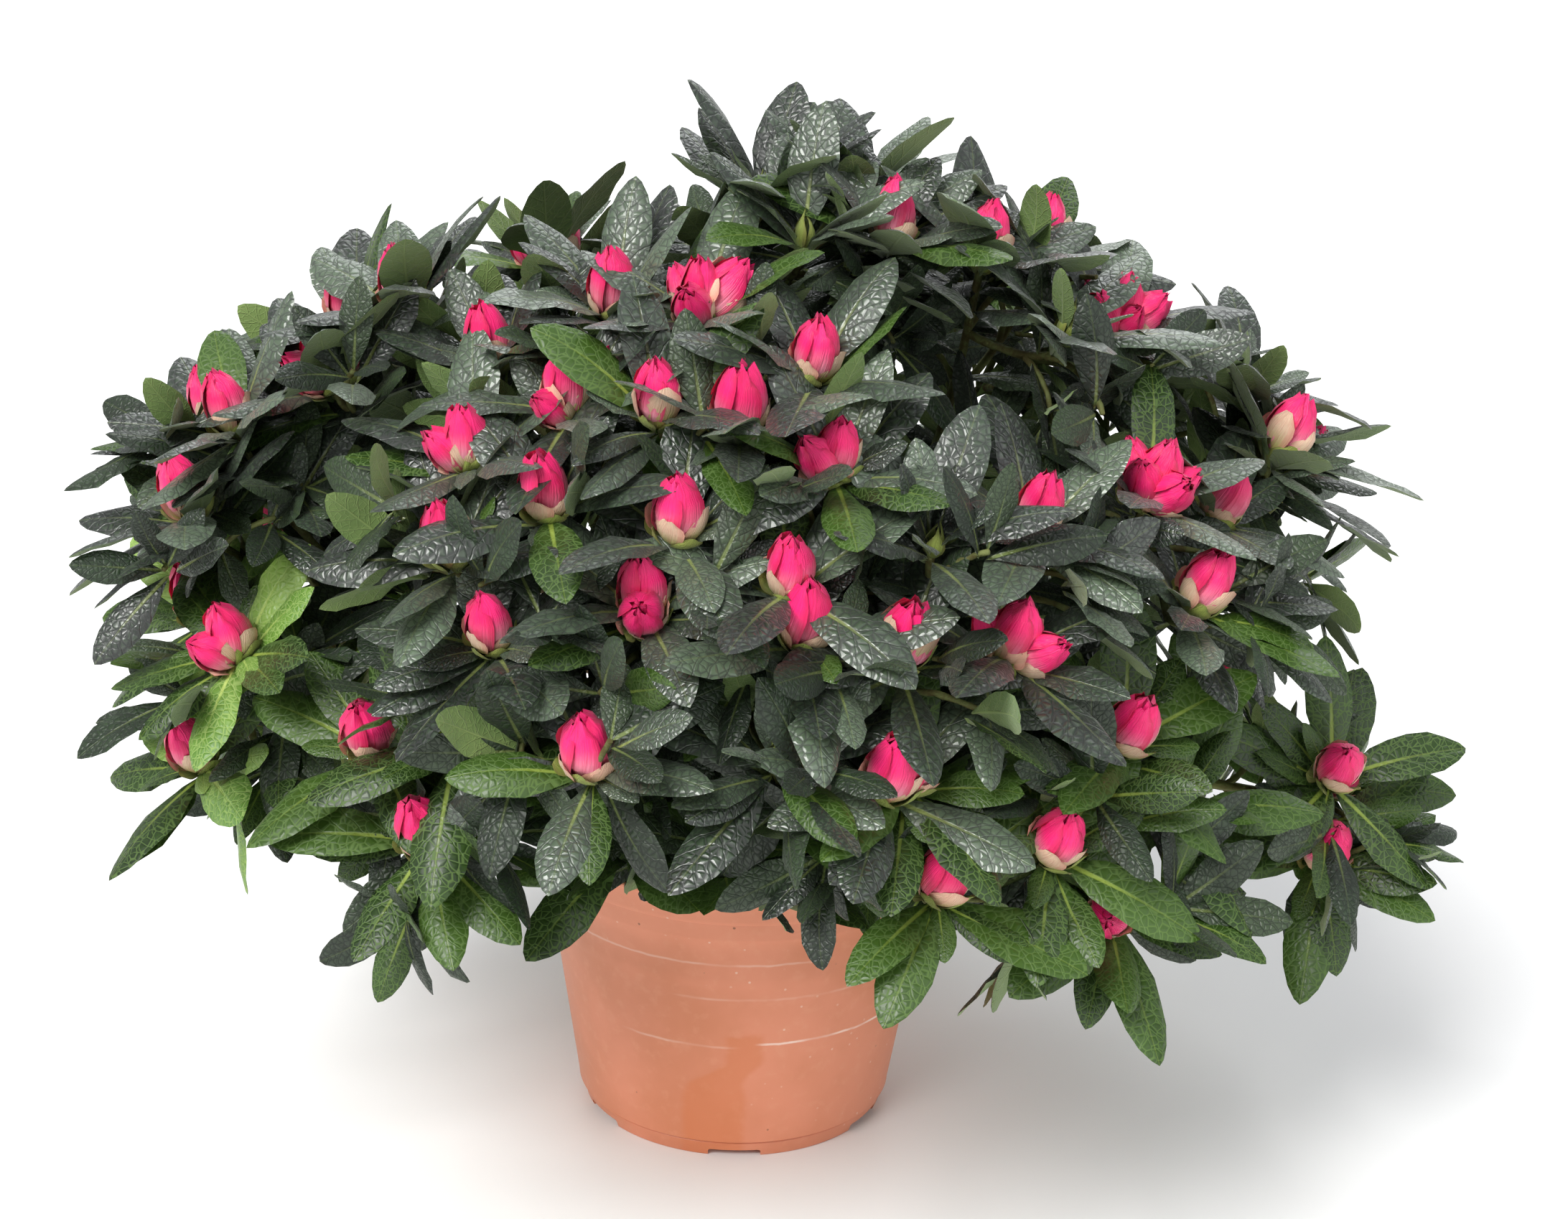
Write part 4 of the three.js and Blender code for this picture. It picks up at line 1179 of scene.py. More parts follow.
def blade_points(leaves, ratio, rng):
    """The points of many blades at once, each drooped, folded, rolled and waved in its own way."""
    count = len(leaves)
    root = np.array([leaf.root for leaf in leaves])
    along = np.array([leaf.along for leaf in leaves])
    upper = np.array([leaf.upper for leaf in leaves])
    across = np.cross(along, upper)
    length = np.array([leaf.length for leaf in leaves])[:, None]
    stations = np.concatenate([[0.0], LEAF_STATIONS, [1.0]])[None]
    steps = np.diff(stations, axis=1)

    def added_up(parts):
        return np.concatenate([np.zeros((count, 1)), np.cumsum(parts, axis=1)], axis=1) * length

    bend = rng.uniform(*BLADE_BENDS, (count, 1))
    start = rng.uniform(*BLADE_STARTS, (count, 1)) * bend
    angle = start - bend * ((stations[:, 1:] + stations[:, :-1]) / 2) ** BEND_GROWTH
    run = added_up(steps * np.cos(angle))
    rise = added_up(steps * np.sin(angle))
    width = ratio * length * rng.uniform(*BLADE_BREADTHS, (count, 1))
    half = 0.5 * width * LEAF_OUTLINE[None]
    fold = rng.uniform(*BLADE_FOLDS, (count, 1, 1))
    curl = rng.uniform(*BLADE_CURLS, (count, 1, 1))
    wave = rng.uniform(*BLADE_WAVES, (count, 1, 1))
    phase = rng.uniform(0, 2 * np.pi, (count, 1, 1))
    twist = rng.uniform(-BLADE_TWIST, BLADE_TWIST, (count, 1)) * stations
    column = LEAF_COLUMNS[None, None, :]
    place = stations[..., None]
    x = half[..., None] * column
    z = half[..., None] * (fold * np.abs(column) - curl * column ** 2)
    ripple = np.sin(place * WAVES_ALONG + phase + column * WAVES_ACROSS)
    ripple = ripple * np.abs(column) ** WAVE_GROWTH
    z = z + ripple * wave * np.sin(np.pi * place)
    z[..., 2] -= RIB_GROOVE
    under_rib = z[..., 2] - RIB_THICKNESS - RIB_FOOT_THICKNESS * (1 - stations)
    x = np.concatenate([x, x[..., 2:3]], axis=2)
    z = np.concatenate([z, under_rib[..., None]], axis=2)
    turned_x = x * np.cos(twist)[..., None] - z * np.sin(twist)[..., None]
    turned_z = x * np.sin(twist)[..., None] + z * np.cos(twist)[..., None]
    lean = np.concatenate([angle[:, :1], (angle[:, 1:] + angle[:, :-1]) / 2, angle[:, -1:]], axis=1)
    y = run[..., None] - turned_z * np.sin(lean)[..., None]
    height = rise[..., None] + turned_z * np.cos(lean)[..., None]
    points = (
        root[:, None, None]
        + across[:, None, None] * turned_x[..., None]
        + along[:, None, None] * y[..., None]
        + upper[:, None, None] * height[..., None]
    )
    uv = np.stack([x / length[..., None] + 0.5, np.broadcast_to(place, x.shape)], axis=-1)

    def closed(rows):
        """The foot and the tip are one point each, and the rings between them are whole."""
        rings = rows[:, 1:-1].reshape(count, -1, rows.shape[-1])
        return np.concatenate([rows[:, :1, 2], rings, rows[:, -1:, 2]], axis=1)

    return closed(points), closed(uv)


def leaf_piece(name, leaves, ratio, seed, materials):
    rng = np.random.default_rng(seed)
    points, uv = blade_points(leaves, ratio, rng)
    count, size = points.shape[:2]
    quads, triangles, under, triangle_under = blade_faces()
    faces = [repeated(quads, count, size), repeated(triangles, count, size)]
    slots = np.concatenate([np.tile(under, count), np.tile(triangle_under, count)])
    tone = np.repeat(rng.uniform(0, 1, count), size)
    piece = joined_mesh(name, points.reshape(-1, 3), faces, materials, slots, uv.reshape(-1, 2), tone)
    soften(piece, LEAF_SHARP)
    return piece


# A shell's points from foot to tip and from side to side. All shells turn a little on their way
# up, lap over their neighbours, dip at their corners, and are this thick where they are wide enough.
SHELL_ROWS = 7
SHELL_COLUMNS = 5
SHELL_TURN = 0.6
SHELL_LAP = 0.14
SHELL_DIP = 0.09
SHELL_THICKNESS = 0.45
THINNEST_REACH = 0.9
EDGE_WAVES = 4.2
RIM_WAVES = 5

# A form: the radius and the breadth from foot to tip, the half angle that a shell wraps, and the
# waves of its edge.
ShellForm = namedtuple("ShellForm", "profile widths half_angle ruffle")
OUTER_PETAL = ShellForm(
    profile=(0.44, 0.82, 0.98, 1.0, 0.93, 0.74, 0.26),
    widths=(0.9, 1.0, 1.0, 1.0, 1.0, 0.95, 0.75), half_angle=0.95, ruffle=0.7,
)
INNER_PETAL = ShellForm(
    profile=(0.44, 0.8, 0.98, 1.0, 0.95, 0.74, 0.08),
    widths=(0.9, 1.0, 1.0, 1.0, 1.0, 0.9, 0.7), half_angle=1.15, ruffle=0.6,
)
BRACT = ShellForm(
    profile=(0.4, 0.72, 0.92, 1.02, 1.06, 1.05),
    widths=(0.8, 1.0, 1.0, 0.95, 0.8, 0.4), half_angle=0.86, ruffle=0.25,
)
BUD_SCALE = ShellForm(
    profile=(0.3, 0.5, 0.78, 1.0, 1.1, 1.14),
    widths=(0.9, 1.0, 1.0, 0.9, 0.7, 0.25), half_angle=0.72, ruffle=0.1,
)
LEAF_BUD_SCALE = ShellForm(
    profile=(0.5, 1.0, 0.9, 0.55, 0.08),
    widths=(1.0, 1.0, 0.9, 0.6, 0.1), half_angle=1.2, ruffle=0.1,
)

# A ring of shells: their form, how many, the turn in radians from one to the next, their lengths as
# shares of the bud's, the turn of the first and how much each may differ, their radius as a share
# of the petals', how far below the bud's foot they start, how far out they stand, and how much
# further every second one does.
ShellRing = namedtuple(
    "ShellRing",
    "form count step lengths first jitter radius sink shift nudge",
    defaults=(0, 0, 1, 0, 0, 0),
)
OUTER_PETALS = ShellRing(OUTER_PETAL, 5, 2 * math.pi / 5, (0.93, 1.02), jitter=0.12)
INNER_PETALS = ShellRing(INNER_PETAL, 3, 2 * math.pi / 3, (1.0, 1.07), first=0.5, radius=0.66)
BRACTS = ShellRing(BRACT, 4, 1.7, (0.42, 0.66), first=0.6, radius=1.08, sink=1, nudge=0.03)
BUD_SCALES = ShellRing(
    BUD_SCALE, 5, GOLDEN_TURN, (0.36, 0.5), radius=1.02, sink=3, shift=0.05, nudge=0.05,
)

# The scales of a slim leaf bud.
LEAF_BUD_SCALES = 4
LEAF_BUD_LENGTH = 12
LEAF_BUD_RADIUS = 2.9
LEAF_BUD_SINK = 2
LEAF_BUD_SHIFT = 0.05

# Flower buds: how far the petals' tips stand open at most, and the few that bracts still cover.
BUD_RADIUS = 6.4
BUD_SIZES = (0.88, 1.08)
WIDEST_OPENING = 0.5
OPENING_REACH = 0.4
COVERED_SHARE = 0.12
COVER = 1.45
COVER_CLOSING = 0.3


def shell_faces(rows, columns):
    """A thin closed shell: a grid outside, and a second inside that shares the first one's rim."""
    outer = np.arange(rows * columns).reshape(rows, columns)
    inner = outer.copy()
    middle = np.arange((rows - 2) * (columns - 2)).reshape(rows - 2, columns - 2)
    inner[1:-1, 1:-1] = rows * columns + middle
    corners = (inner[:-1, :-1], inner[1:, :-1], inner[1:, 1:], inner[:-1, 1:])
    inside = np.stack([corner.ravel() for corner in corners], axis=1)
    return np.concatenate([grid_faces(rows, columns), inside])


def shell_points(foot, axis, turn, length, radius, form, shift, rng):
    """The points and the map of a petal, bract or scale that wraps round an axis."""
    share = np.linspace(0, 1, SHELL_ROWS)[:, None]
    side = np.linspace(-1, 1, SHELL_COLUMNS)[None]

    def along(values):
        return np.interp(share, np.linspace(0, 1, len(values)), values)

    angle = turn + side * form.half_angle * along(form.widths) + share * SHELL_TURN
    wave = np.sin(side * EDGE_WAVES + rng.uniform(0, ANY_TURN)) * share ** 3
    reach = radius * along(form.profile) * (1 + SHELL_LAP * side + shift) + form.ruffle * wave
    height = length * (share - SHELL_DIP * side ** 2 * share ** 2)
    height = height + form.ruffle * np.cos(side * RIM_WAVES + turn) * share ** 3
    local = np.stack([reach * np.cos(angle), reach * np.sin(angle), height], axis=-1)
    inward = local.copy()
    inward[..., :2] *= (1 - SHELL_THICKNESS / np.maximum(reach, THINNEST_REACH))[..., None]
    points = np.concatenate([local.reshape(-1, 3), inward[1:-1, 1:-1].reshape(-1, 3)])
    lean = UP.rotation_difference(axis).to_matrix()
    points = points @ np.array(lean).T + np.array(foot)
    uv = np.stack([side * 0.5 + 0.5 + 0 * share, share + 0 * side], axis=-1)
    uv = np.concatenate([uv.reshape(-1, 2), uv[1:-1, 1:-1].reshape(-1, 2)])
    return points, uv


def shell_piece(name, shells, material, seed):
    """Many shells joined in one object."""
    rng = np.random.default_rng(seed)
    points = np.concatenate([shell[0] for shell in shells])
    uv = np.concatenate([shell[1] for shell in shells])
    size = len(shells[0][0])
    faces = [repeated(shell_faces(SHELL_ROWS, SHELL_COLUMNS), len(shells), size)]
    tone = np.repeat(rng.uniform(0, 1, len(shells)), size)
    piece = joined_mesh(name, points, faces, [material], None, uv, tone)
    soften(piece, SHELL_SHARP)
    return piece


def leaf_bud_shells(bud, size, rng):
    """The scales of a slim leaf bud, each a little shorter and further out than the last."""
    foot = bud.foot - bud.axis * LEAF_BUD_SINK
    shells = []
    for k in range(LEAF_BUD_SCALES):
        turn = math.radians(bud.spin) + GOLDEN_TURN * k
        length = (LEAF_BUD_LENGTH - k) * size
        shells.append(shell_points(
            foot, bud.axis, turn, length, LEAF_BUD_RADIUS * size, LEAF_BUD_SCALE, LEAF_BUD_SHIFT * k, rng,
        ))
    return shells


def ring_of_shells(bud, ring, tall, wide, rng):
    """A ring of petals, bracts or scales round a flower bud."""
    foot = bud.foot - bud.axis * ring.sink
    shells = []
    for k in range(ring.count):
        turn = math.radians(bud.spin) + ring.first + ring.step * k
        if ring.jitter:
            turn += rng.uniform(-ring.jitter, ring.jitter)
        length = tall * rng.uniform(*ring.lengths)
        shift = ring.shift + ring.nudge * (k % 2)
        radius = wide * ring.radius
        shells.append(shell_points(foot, bud.axis, turn, length, radius, ring.form, shift, rng))
    return shells


def with_tip(ring, more):
    """The same ring with more radius, or less, at its shells' tips."""
    profile = ring.form.profile[:-1] + (ring.form.profile[-1] + more,)
    return ring._replace(form=ring.form._replace(profile=profile))


def bud_shells(buds, length):
    """The petals, bracts and green scales of all the buds, and the scales of the leaf buds."""
    petals, bracts, scales = [], [], []
    for number, bud in enumerate(buds):
        rng = np.random.default_rng(SHELL_SEED + number)
        size = bud.size * rng.uniform(*BUD_SIZES)
        if bud.kind == "leaf":
            scales += leaf_bud_shells(bud, size, rng)
            continue
        tall = length * size
        wide = BUD_RADIUS * size
        opened = with_tip(OUTER_PETALS, OPENING_REACH * rng.uniform(0.0, WIDEST_OPENING))
        petals += ring_of_shells(bud, opened, tall, wide, rng)
        petals += ring_of_shells(bud, INNER_PETALS, tall, wide, rng)
        cover = COVER if rng.random() < COVERED_SHARE else 1.0
        closed = with_tip(BRACTS, COVER_CLOSING * (1 - cover))
        bracts += ring_of_shells(bud, closed, tall * cover, wide, rng)
        scales += ring_of_shells(bud, BUD_SCALES, tall, wide, rng)
    return petals, bracts, scales


# Operators

def choose_none():
    if bpy.context.object and bpy.context.object.mode != "OBJECT":
        bpy.ops.object.mode_set(mode="OBJECT")
    bpy.ops.object.select_all(action="DESELECT")


def trunk_tube(sizes, rng):
    """The trunk's tube, lobed at its flared foot and ridged all the way up."""
    shares = np.linspace(0, 1, TRUNK_STEPS)
    path = np.array([point_on(TRUNK_CURVE, share) for share in shares])
    path[0, 2] -= TRUNK_SUNK
    foot, head = sizes.trunk_foot / MM, sizes.trunk_head / MM
    radii = foot + (head - foot) * shares
    angles = np.arange(TRUNK_SIDES) * 2 * np.pi / TRUNK_SIDES
    fall = np.exp(-shares * (TRUNK_HEAD.z - TRUNK_FOOT) / TRUNK_FLARE_HEIGHT)[:, None]
    lobes = 1 - TRUNK_LOBE_SHARE + TRUNK_LOBE_SHARE * np.cos(TRUNK_LOBES * angles)
    relief = 1 + rng.normal(0, TRUNK_GRAIN, (TRUNK_STEPS, TRUNK_SIDES))
    relief += TRUNK_FLARE * lobes[None] * fall / radii[:, None]
    for depth, count, turn in TRUNK_RIDGES:
        relief += depth * np.sin(angles * count + shares[:, None] * turn)
    return tube(path, radii, TRUNK_SIDES, relief)


class AZALEA_OT_limbs(bpy.types.Operator):
    """Grow the trunk and the boughs, with relief in their bark"""
    bl_idname = "azalea.limbs"
    bl_label = "Trunk and boughs"

    def execute(self, context):
        sizes = context.scene.azalea_wood
        rng = np.random.default_rng(TRUNK_SEED)
        parts = [trunk_tube(sizes, rng)]
        for limb in growth(context.scene.azalea_foliage)[0]:
            parts.append(limb_tube(
                limb, BOUGH_SIDES, BOUGH_STEPS, rng, BOUGH_WANDER, BOUGH_KNOTS,
            ))
        vertices, faces = joined(parts)
        dark, light = paint(58, 44, 32), paint(142, 126, 96)
        bark = bark_finish("woody bark", tuple(sizes.bark), dark, light, 170.0)
        piece = joined_mesh("trunk_and_boughs", vertices, faces, [bark])
        soften(piece, LIMB_SHARP)
        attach(piece, "root")
        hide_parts("trunk", *(f"bough_{mass.name}" for mass in MASSES))
        return {"FINISHED"}


class AZALEA_OT_twigs(bpy.types.Operator):
    """Grow the green twigs that carry the rosettes"""
    bl_idname = "azalea.twigs"
    bl_label = "Twigs"

    def execute(self, context):
        sizes = context.scene.azalea_wood
        rng = np.random.default_rng(TWIG_SKIN_SEED)
        twigs = growth(context.scene.azalea_foliage)[1]
        tubes = [
            limb_tube(limb, TWIG_SIDES, TWIG_STEPS, rng, TWIG_WANDER, TWIG_KNOTS) for limb in twigs
        ]
        vertices, faces = joined(tubes)
        dark, light = paint(84, 78, 44), paint(142, 148, 88)
        skin = bark_finish("twig skin", tuple(sizes.twig), dark, light, 260.0)
        piece = joined_mesh("twigs", vertices, faces, [skin])
        soften(piece, LIMB_SHARP)
        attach(piece, "root")
        return {"FINISHED"}


def leaf_looks(sizes):
    """The looks of the leaves' upper sides, in the order in which their pieces are made."""
    # The bloom colour of each look is partly a painted highlight on the tops of the puckers.
    return {
        # The dark lines colour of the dusky and shade looks is painted shade in the sunken veins.
        "dusky": LeafLook(
            base=tuple(sizes.dusky), deep=paint(8, 18, 10), rib=paint(134, 146, 78),
            bloom=paint(108, 126, 102), lines=paint(9, 17, 11),
            roughness=0.33, gloss=1.0, sheen=0.14, relief=0.38,
        ),
        "fresh": LeafLook(
            base=tuple(sizes.fresh), deep=paint(18, 37, 8), rib=paint(150, 170, 72),
            bloom=paint(66, 96, 30), lines=paint(86, 114, 50),
            roughness=0.38, gloss=0.55, sheen=0.05, relief=0.24,
        ),
        # Painted shade: the shade look is a darker, duller copy of the leaf for the leaves inside the
        # crown.
        "shade": LeafLook(
            base=paint(31, 51, 27), deep=paint(13, 26, 12), rib=paint(104, 118, 62),
            bloom=paint(60, 78, 48), lines=paint(16, 26, 14),
            roughness=0.45, gloss=0.6, sheen=0.05, relief=0.4,
        ),
        "young": LeafLook(
            base=paint(112, 150, 56), deep=paint(72, 114, 36), rib=paint(176, 196, 104),
            bloom=paint(140, 172, 82), lines=paint(150, 176, 96),
            roughness=0.42, gloss=0.6, sheen=0.05, relief=0.3,
        ),
    }


class AZALEA_OT_leaves(bpy.types.Operator):
    """Grow the leaves in rosettes and down the twigs, each finish its own piece"""
    bl_idname = "azalea.leaves"
    bl_label = "Leaves"

    def execute(self, context):
        sizes = context.scene.azalea_foliage
        leaves = growth(sizes)[2]
        pale = underside_finish("leaf underside", paint(98, 124, 66), paint(142, 164, 96))
        for number, (finish, look) in enumerate(leaf_looks(sizes).items()):
            chosen = [leaf for leaf in leaves if leaf.finish == finish]
            materials = [leaf_finish(f"{finish} leaf", look), pale]
            piece = leaf_piece(
                f"leaves_{finish}", chosen, sizes.leaf_ratio, LEAF_SEED + number, materials,
            )
            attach(piece, "root")
            if finish == "dusky":
                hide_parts(*(f"foliage_{mass.name}" for mass in MASSES))
        return {"FINISHED"}


class AZALEA_OT_buds(bpy.types.Operator):
    """Wrap the flower buds and leaf buds from petals, bracts and scales"""
    bl_idname = "azalea.buds"
    bl_label = "Buds"

    def execute(self, context):
        sizes = context.scene.azalea_foliage
        petals, bracts, scales = bud_shells(growth(sizes)[3], sizes.bud_length / MM)
        # The petals' deep colour gives both their streaks and the painted shade in the creases between
        # them.
        pink = petal_finish(
            "petal", paint(254, 178, 194), tuple(sizes.petal), paint(208, 6, 76), 0.4,
        )
        blush = petal_finish("bract", paint(178, 184, 84), paint(238, 206, 176), paint(222, 150, 132))
        green = petal_finish("bud scale", paint(124, 144, 62), paint(166, 182, 88), paint(120, 116, 58))
        kinds = (("petals", petals, pink), ("bracts", bracts, blush), ("bud_scales", scales, green))
        for number, (name, shells, material) in enumerate(kinds):
            piece = shell_piece(name, shells, material, SHELL_TONE_SEED + number)
            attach(piece, "root")
        return {"FINISHED"}


def turned_ring(radius, height, previous_radius, previous_height):
    """Extrudes the open ring of a turned piece and takes it to a new radius and height."""
    bpy.ops.mesh.extrude_region_move(
        TRANSFORM_OT_translate={"value": (0, 0, height - previous_height)}
    )
    scale = radius / previous_radius
    bpy.ops.transform.resize(value=(scale, scale, 1), center_override=(0, 0, height))


def turned(name, profile, sides):
    """Turns a profile of (radius, height) pairs, from its open foot ring to its closed end."""
    choose_none()
    radius, height = profile[0]
    bpy.ops.mesh.primitive_circle_add(
        vertices=sides, radius=radius, location=(0, 0, height), fill_type="NGON",
    )
    piece = bpy.context.object
    piece.name = name
    bpy.ops.object.transform_apply(location=True, rotation=True, scale=True)
    bpy.ops.object.mode_set(mode="EDIT")
    bpy.ops.mesh.select_mode(type="FACE")
    bpy.ops.mesh.select_all(action="SELECT")
    for next_radius, next_height in profile[1:]:
        turned_ring(next_radius, next_height, radius, height)
        radius, height = next_radius, next_height
    bpy.ops.mesh.select_all(action="SELECT")
    bpy.ops.mesh.normals_make_consistent(inside=False)
    bpy.ops.object.mode_set(mode="OBJECT")
    return piece


# The pot's levels and outside radii in millimetres, as in the frame.
POT_FLOOR = 3.6
POT_STEP_HEIGHT = 5.8
POT_STEP_RADIUS = 48.6
POT_WAIST_HEIGHT = 61.0
POT_WAIST_RADIUS = 57.4
POT_COLLAR_HEIGHT = 69.0
POT_COLLAR_RADIUS = 58.4
FLOOR_EDGE_RADIUS = 47.0

# Drain channels under the pot's foot, and the holes that they meet, in millimetres and degrees.
DRAIN_COUNT = 6
DRAIN_TURN = 2
DRAIN_WIDTH = 16
DRAIN_LENGTH = 15
DRAIN_HEIGHT = 2.3
DRAIN_OVERRUN = 2
DRAIN_ROUNDING = 0.8
DRAIN_HOLE_RADIUS = 3.2
DRAIN_HOLE_REACH = 37
DRAIN_HOLE_DEPTH = 16


def pot_profile(sizes):
    """The pot's wall in section: up the outside, over the lip and down the inside."""
    rim, foot, wall, top = (value / MM for value in (sizes.rim, sizes.foot, sizes.wall, sizes.height))
    foot_edge = [(foot - 0.9, 0.0), (foot - 0.3, 0.15), (foot, 0.7)]
    step = [(47.7, 4.8), (47.5, 5.1), (47.5, 5.5), (48.3, 5.6), (48.75, 5.9), (48.85, 7.2)]
    side = [(53.0, 33.5), (POT_WAIST_RADIUS, POT_WAIST_HEIGHT)]
    waist_rings = [(57.6, 62.2), (57.95, 63.2), (58.15, 65.5), (POT_COLLAR_RADIUS, POT_COLLAR_HEIGHT)]
    collar = [
        (59.7, 75.0), (60.3, 78.0), (60.55, 78.3), (60.9, 79.4),
        (62.0, 84.5), (62.3, 84.8), (62.6, 86.0), (64.1, 91.9),
    ]
    lip = [
        (64.4, 92.4), (64.85, 92.7), (rim, 93.1), (rim, 93.6), (rim - 0.25, top - 0.1),
        (rim - 0.6, top), (rim - 1.2, top), (rim - 1.5, top - 0.3), (62.6, 92.0),
    ]
    inside = [
        (POT_COLLAR_RADIUS - wall, POT_COLLAR_HEIGHT), (POT_WAIST_RADIUS - wall, POT_WAIST_HEIGHT),
        (POT_STEP_RADIUS - wall, POT_STEP_HEIGHT), (48.0 - wall, 4.4),
    ]
    floor = [(FLOOR_EDGE_RADIUS - wall, POT_FLOOR), (20.0, POT_FLOOR), (0.4, POT_FLOOR)]
    profile = foot_edge + step + side + waist_rings + collar + lip + inside + floor
    return [(radius * MM, height * MM) for radius, height in profile]


class AZALEA_OT_pot(bpy.types.Operator):
    """Turn the pot, cut its drain channels and holes, and finish its plastic"""
    bl_idname = "azalea.pot"
    bl_label = "Pot"

    def execute(self, context):
        sizes = context.scene.azalea_pot
        piece = turned("pot_shell", pot_profile(sizes), sizes.sides)
        for number in range(DRAIN_COUNT):
            turn = math.radians(DRAIN_TURN + number * 360 / DRAIN_COUNT)
            self.cut(piece, self.channel(sizes.foot, turn))
            self.cut(piece, self.hole(turn))
        bpy.ops.object.select_all(action="DESELECT")
        piece.data.materials.append(pot_finish(sizes))
        soften(piece, POT_SHARP)
        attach(piece, "root")
        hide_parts("pot")
        return {"FINISHED"}

    def cut(self, piece, cutter):
        """Cuts a shape out of the pot and removes the cutter."""
        modifier = piece.modifiers.new("drain", "BOOLEAN")
        modifier.operation = "DIFFERENCE"
        modifier.solver = "EXACT"
        modifier.object = cutter
        choose_none()
        piece.select_set(True)
        bpy.context.view_layer.objects.active = piece
        bpy.ops.object.modifier_apply(modifier=modifier.name)
        mesh = cutter.data
        bpy.data.objects.remove(cutter)
        bpy.data.meshes.remove(mesh)

    def channel(self, foot, turn):
        """A channel's cutter, half of it below the pot and a little past the foot's edge."""
        choose_none()
        reach = foot - DRAIN_LENGTH * MM / 2 + DRAIN_OVERRUN * MM
        place = Quaternion(UP, turn) @ Vector((0, -reach, 0))
        bpy.ops.mesh.primitive_cube_add(size=1, location=place, rotation=(0, 0, turn))
        cutter = bpy.context.object
        cutter.scale = Vector((DRAIN_WIDTH, DRAIN_LENGTH, DRAIN_HEIGHT * 2)) * MM
        bpy.ops.object.transform_apply(location=True, rotation=True, scale=True)
        bpy.ops.object.mode_set(mode="EDIT")
        bpy.ops.mesh.select_all(action="SELECT")
        bpy.ops.mesh.bevel(offset=DRAIN_ROUNDING * MM, segments=2, affect="EDGES")
        bpy.ops.object.mode_set(mode="OBJECT")
        return cutter

    def hole(self, turn):
        """A hole's cutter, through the pot's floor."""
        choose_none()
        place = Quaternion(UP, turn) @ Vector((0, -DRAIN_HOLE_REACH * MM, 0))
        bpy.ops.mesh.primitive_cylinder_add(
            vertices=24, radius=DRAIN_HOLE_RADIUS * MM, depth=DRAIN_HOLE_DEPTH * MM, location=place,
        )
        bpy.ops.object.transform_apply(location=True, rotation=True, scale=True)
        return bpy.context.object


# The peat: its gap to the pot's wall, its edge, how its top rises by rings towards the trunk, and
# the crumbs that raise, sink and shift the points of its top.
PEAT_GAP = 0.3
PEAT_SIDES = 96
PEAT_FOOT = 3.95
PEAT_EDGE = ((61.3, 83.2), (61.5, 84.6))
PEAT_TOP_RADIUS = 60.0
PEAT_TOP_HEIGHT = 85.2
PEAT_TOP_RISE = 0.05
PEAT_TOP_REACH = 57
PEAT_RING_STEP = 2
CRUMB_LEVEL = 85.1
CRUMB_REACH = 58
CRUMB_SINK = 1.4
CRUMB_RISE = 1.0
CRUMB_SHIFT = 0.5


class AZALEA_OT_peat(bpy.types.Operator):
    """Fill the pot with peat, crumbly on top"""
    bl_idname = "azalea.peat"
    bl_label = "Peat"

    def execute(self, context):
        wall = context.scene.azalea_pot.wall / MM + PEAT_GAP
        profile = [
            (FLOOR_EDGE_RADIUS, PEAT_FOOT), (POT_STEP_RADIUS, POT_STEP_HEIGHT),
            (POT_WAIST_RADIUS, POT_WAIST_HEIGHT), (POT_COLLAR_RADIUS, POT_COLLAR_HEIGHT), *PEAT_EDGE,
        ]
        for step in range(0, PEAT_TOP_REACH, PEAT_RING_STEP):
            profile.append((PEAT_TOP_RADIUS - step, PEAT_TOP_HEIGHT + step * PEAT_TOP_RISE))
        profile = [((radius - wall) * MM, height * MM) for radius, height in profile]
        piece = turned("peat_fill", profile, PEAT_SIDES)
        self.crumble(piece)
        piece.data.materials.append(peat_finish())
        soften(piece, PEAT_SHARP)
        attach(piece, "root")
        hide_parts("root_ball")
        return {"FINISHED"}

    def crumble(self, piece):
        """Raises, sinks and shifts the points of the top by up to about a millimetre."""
        rng = np.random.default_rng(PEAT_SEED)
        for vertex in piece.data.vertices:
            if vertex.co.z > CRUMB_LEVEL * MM and vertex.co.xy.length < CRUMB_REACH * MM:
                vertex.co.z += rng.uniform(-CRUMB_SINK, CRUMB_RISE) * MM
                vertex.co.x += rng.uniform(-CRUMB_SHIFT, CRUMB_SHIFT) * MM
                vertex.co.y += rng.uniform(-CRUMB_SHIFT, CRUMB_SHIFT) * MM
        piece.data.update()


# Soft lamps: the direction each stands in, its spread in degrees, its power and its colour.
Lamp = namedtuple("Lamp", "name towards spread power colour")
LAMPS = (
    Lamp("key light", Vector((-0.55, -0.75, 1.0)), 36, 3.8, (1.0, 0.99, 0.97)),
    Lamp("fill light", Vector((0.9, -0.6, 0.55)), 60, 0.75, (0.97, 0.98, 1.0)),
    Lamp("back light", Vector((0.1, 0.9, 0.7)), 50, 1.5, (0.97, 0.98, 1.0)),
)
ROOM_COLOUR = (0.95, 0.97, 1.0, 1)
ROOM_STRENGTH = 0.38
FLOOR_RADIUS = 60
FLOOR_BORDER = 1.0

# The camera of the photograph, fitted to the pot's rim and foot: its focal length and the width of
# its picture in pixels, and the point that it looks at.
SENSOR_WIDTH = 36.0
FOCAL_PIXELS = 4170
PICTURE_PIXELS = 2184
CAMERA_TARGET = Vector((0.011, 0, 0.1602))
NEAREST_SEEN = 0.05


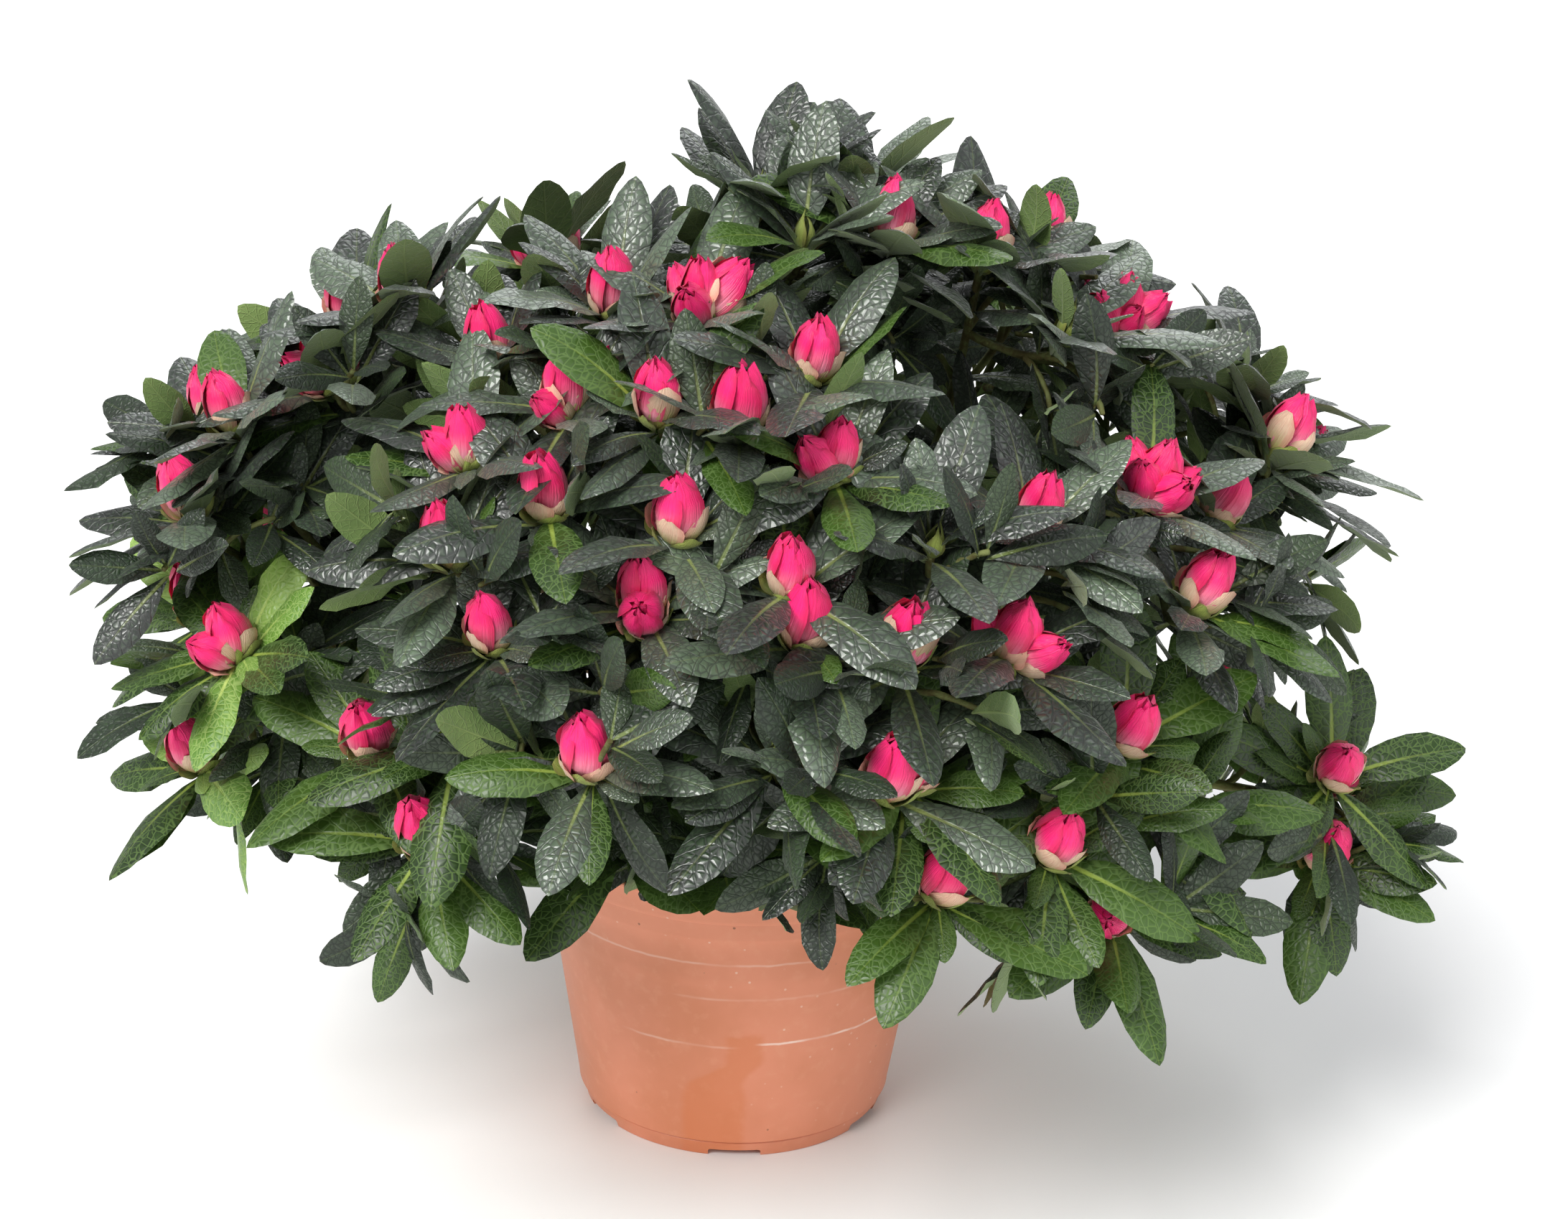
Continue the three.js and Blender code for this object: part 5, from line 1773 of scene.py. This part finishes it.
class AZALEA_OT_studio(bpy.types.Operator):
    """Lay the pale floor, hang the soft lights and place the camera"""
    bl_idname = "azalea.studio"
    bl_label = "Floor, lights and camera"

    def execute(self, context):
        settings = context.scene.azalea_studio
        self.place_camera(context, settings)
        self.lay_floor(context, settings)
        for lamp in LAMPS:
            self.hang(lamp)
        world = bpy.data.worlds.new("pale room")
        world.use_nodes = True
        background = world.node_tree.nodes["Background"]
        background.inputs["Color"].default_value = ROOM_COLOUR
        background.inputs["Strength"].default_value = ROOM_STRENGTH
        context.scene.world = world
        context.scene.view_settings.view_transform = "Standard"
        return {"FINISHED"}

    def lay_floor(self, context, settings):
        choose_none()
        bpy.ops.mesh.primitive_circle_add(
            vertices=96, radius=FLOOR_RADIUS, location=(0, 0, 0), fill_type="NGON",
        )
        floor = context.object
        floor.name = "studio_floor"
        bpy.ops.object.mode_set(mode="EDIT")
        bpy.ops.mesh.select_all(action="SELECT")
        bpy.ops.mesh.inset(thickness=FLOOR_BORDER)
        bpy.ops.object.mode_set(mode="OBJECT")
        floor.data.materials.append(floor_finish(settings))

    def hang(self, lamp):
        """A very soft lamp far away, so the whole floor has the same light."""
        data = bpy.data.lights.new(lamp.name, "SUN")
        data.angle = math.radians(lamp.spread)
        data.energy = lamp.power
        data.color = lamp.colour
        light = bpy.data.objects.new(lamp.name, data)
        light.location = lamp.towards * 2
        light.rotation_mode = "QUATERNION"
        light.rotation_quaternion = lamp.towards.to_track_quat("Z", "Y")
        bpy.context.collection.objects.link(light)

    def place_camera(self, context, settings):
        pitch, roll = settings.camera_pitch, settings.camera_roll
        back = Vector((0, -math.cos(pitch), math.sin(pitch)))
        right = Vector((1, 0, 0))
        up = back.cross(right)
        turned_right = right * math.cos(roll) + up * math.sin(roll)
        turned_up = up * math.cos(roll) - right * math.sin(roll)
        data = bpy.data.cameras.new("camera")
        data.sensor_width = SENSOR_WIDTH
        data.lens = SENSOR_WIDTH * FOCAL_PIXELS / PICTURE_PIXELS
        data.clip_start = NEAREST_SEEN
        camera = bpy.data.objects.new("camera", data)
        basis = Matrix((turned_right, turned_up, back)).transposed()
        place = CAMERA_TARGET + back * settings.camera_distance
        camera.matrix_world = Matrix.Translation(place) @ basis.to_4x4()
        context.collection.objects.link(camera)
        context.scene.camera = camera


class AZALEA_PT_sidebar(bpy.types.Panel):
    """Lists the pieces of the potted azalea in the order in which they are made"""
    bl_label = "Potted azalea"
    bl_idname = "AZALEA_PT_sidebar"
    bl_space_type = "VIEW_3D"
    bl_region_type = "UI"
    bl_category = "Azalea"

    def draw(self, context):
        for settings, operators in SECTIONS:
            box = self.layout.box()
            group = getattr(context.scene, settings)
            for name in group.__annotations__:
                box.prop(group, name)
            for operator in operators:
                box.operator(operator.bl_idname)


SECTIONS = (
    ("azalea_studio", (AZALEA_OT_studio,)),
    ("azalea_pot", (AZALEA_OT_pot, AZALEA_OT_peat)),
    ("azalea_wood", (AZALEA_OT_limbs, AZALEA_OT_twigs)),
    ("azalea_foliage", (AZALEA_OT_leaves, AZALEA_OT_buds)),
)
GROUPS = {
    "azalea_studio": StudioSettings,
    "azalea_pot": PotSizes,
    "azalea_wood": WoodSizes,
    "azalea_foliage": FoliageSizes,
}
OPERATORS = tuple(operator for _, operators in SECTIONS for operator in operators)


def register():
    for group in GROUPS.values():
        bpy.utils.register_class(group)
    for name, group in GROUPS.items():
        setattr(bpy.types.Scene, name, PointerProperty(type=group))
    for operator in OPERATORS:
        bpy.utils.register_class(operator)
    bpy.utils.register_class(AZALEA_PT_sidebar)


def unregister():
    bpy.utils.unregister_class(AZALEA_PT_sidebar)
    for operator in reversed(OPERATORS):
        bpy.utils.unregister_class(operator)
    for name in GROUPS:
        delattr(bpy.types.Scene, name)
    for group in GROUPS.values():
        bpy.utils.unregister_class(group)


def main():
    register()
    for operator in OPERATORS:
        group, name = operator.bl_idname.split(".")
        getattr(getattr(bpy.ops, group), name)()


if __name__ == "__main__":
    main()
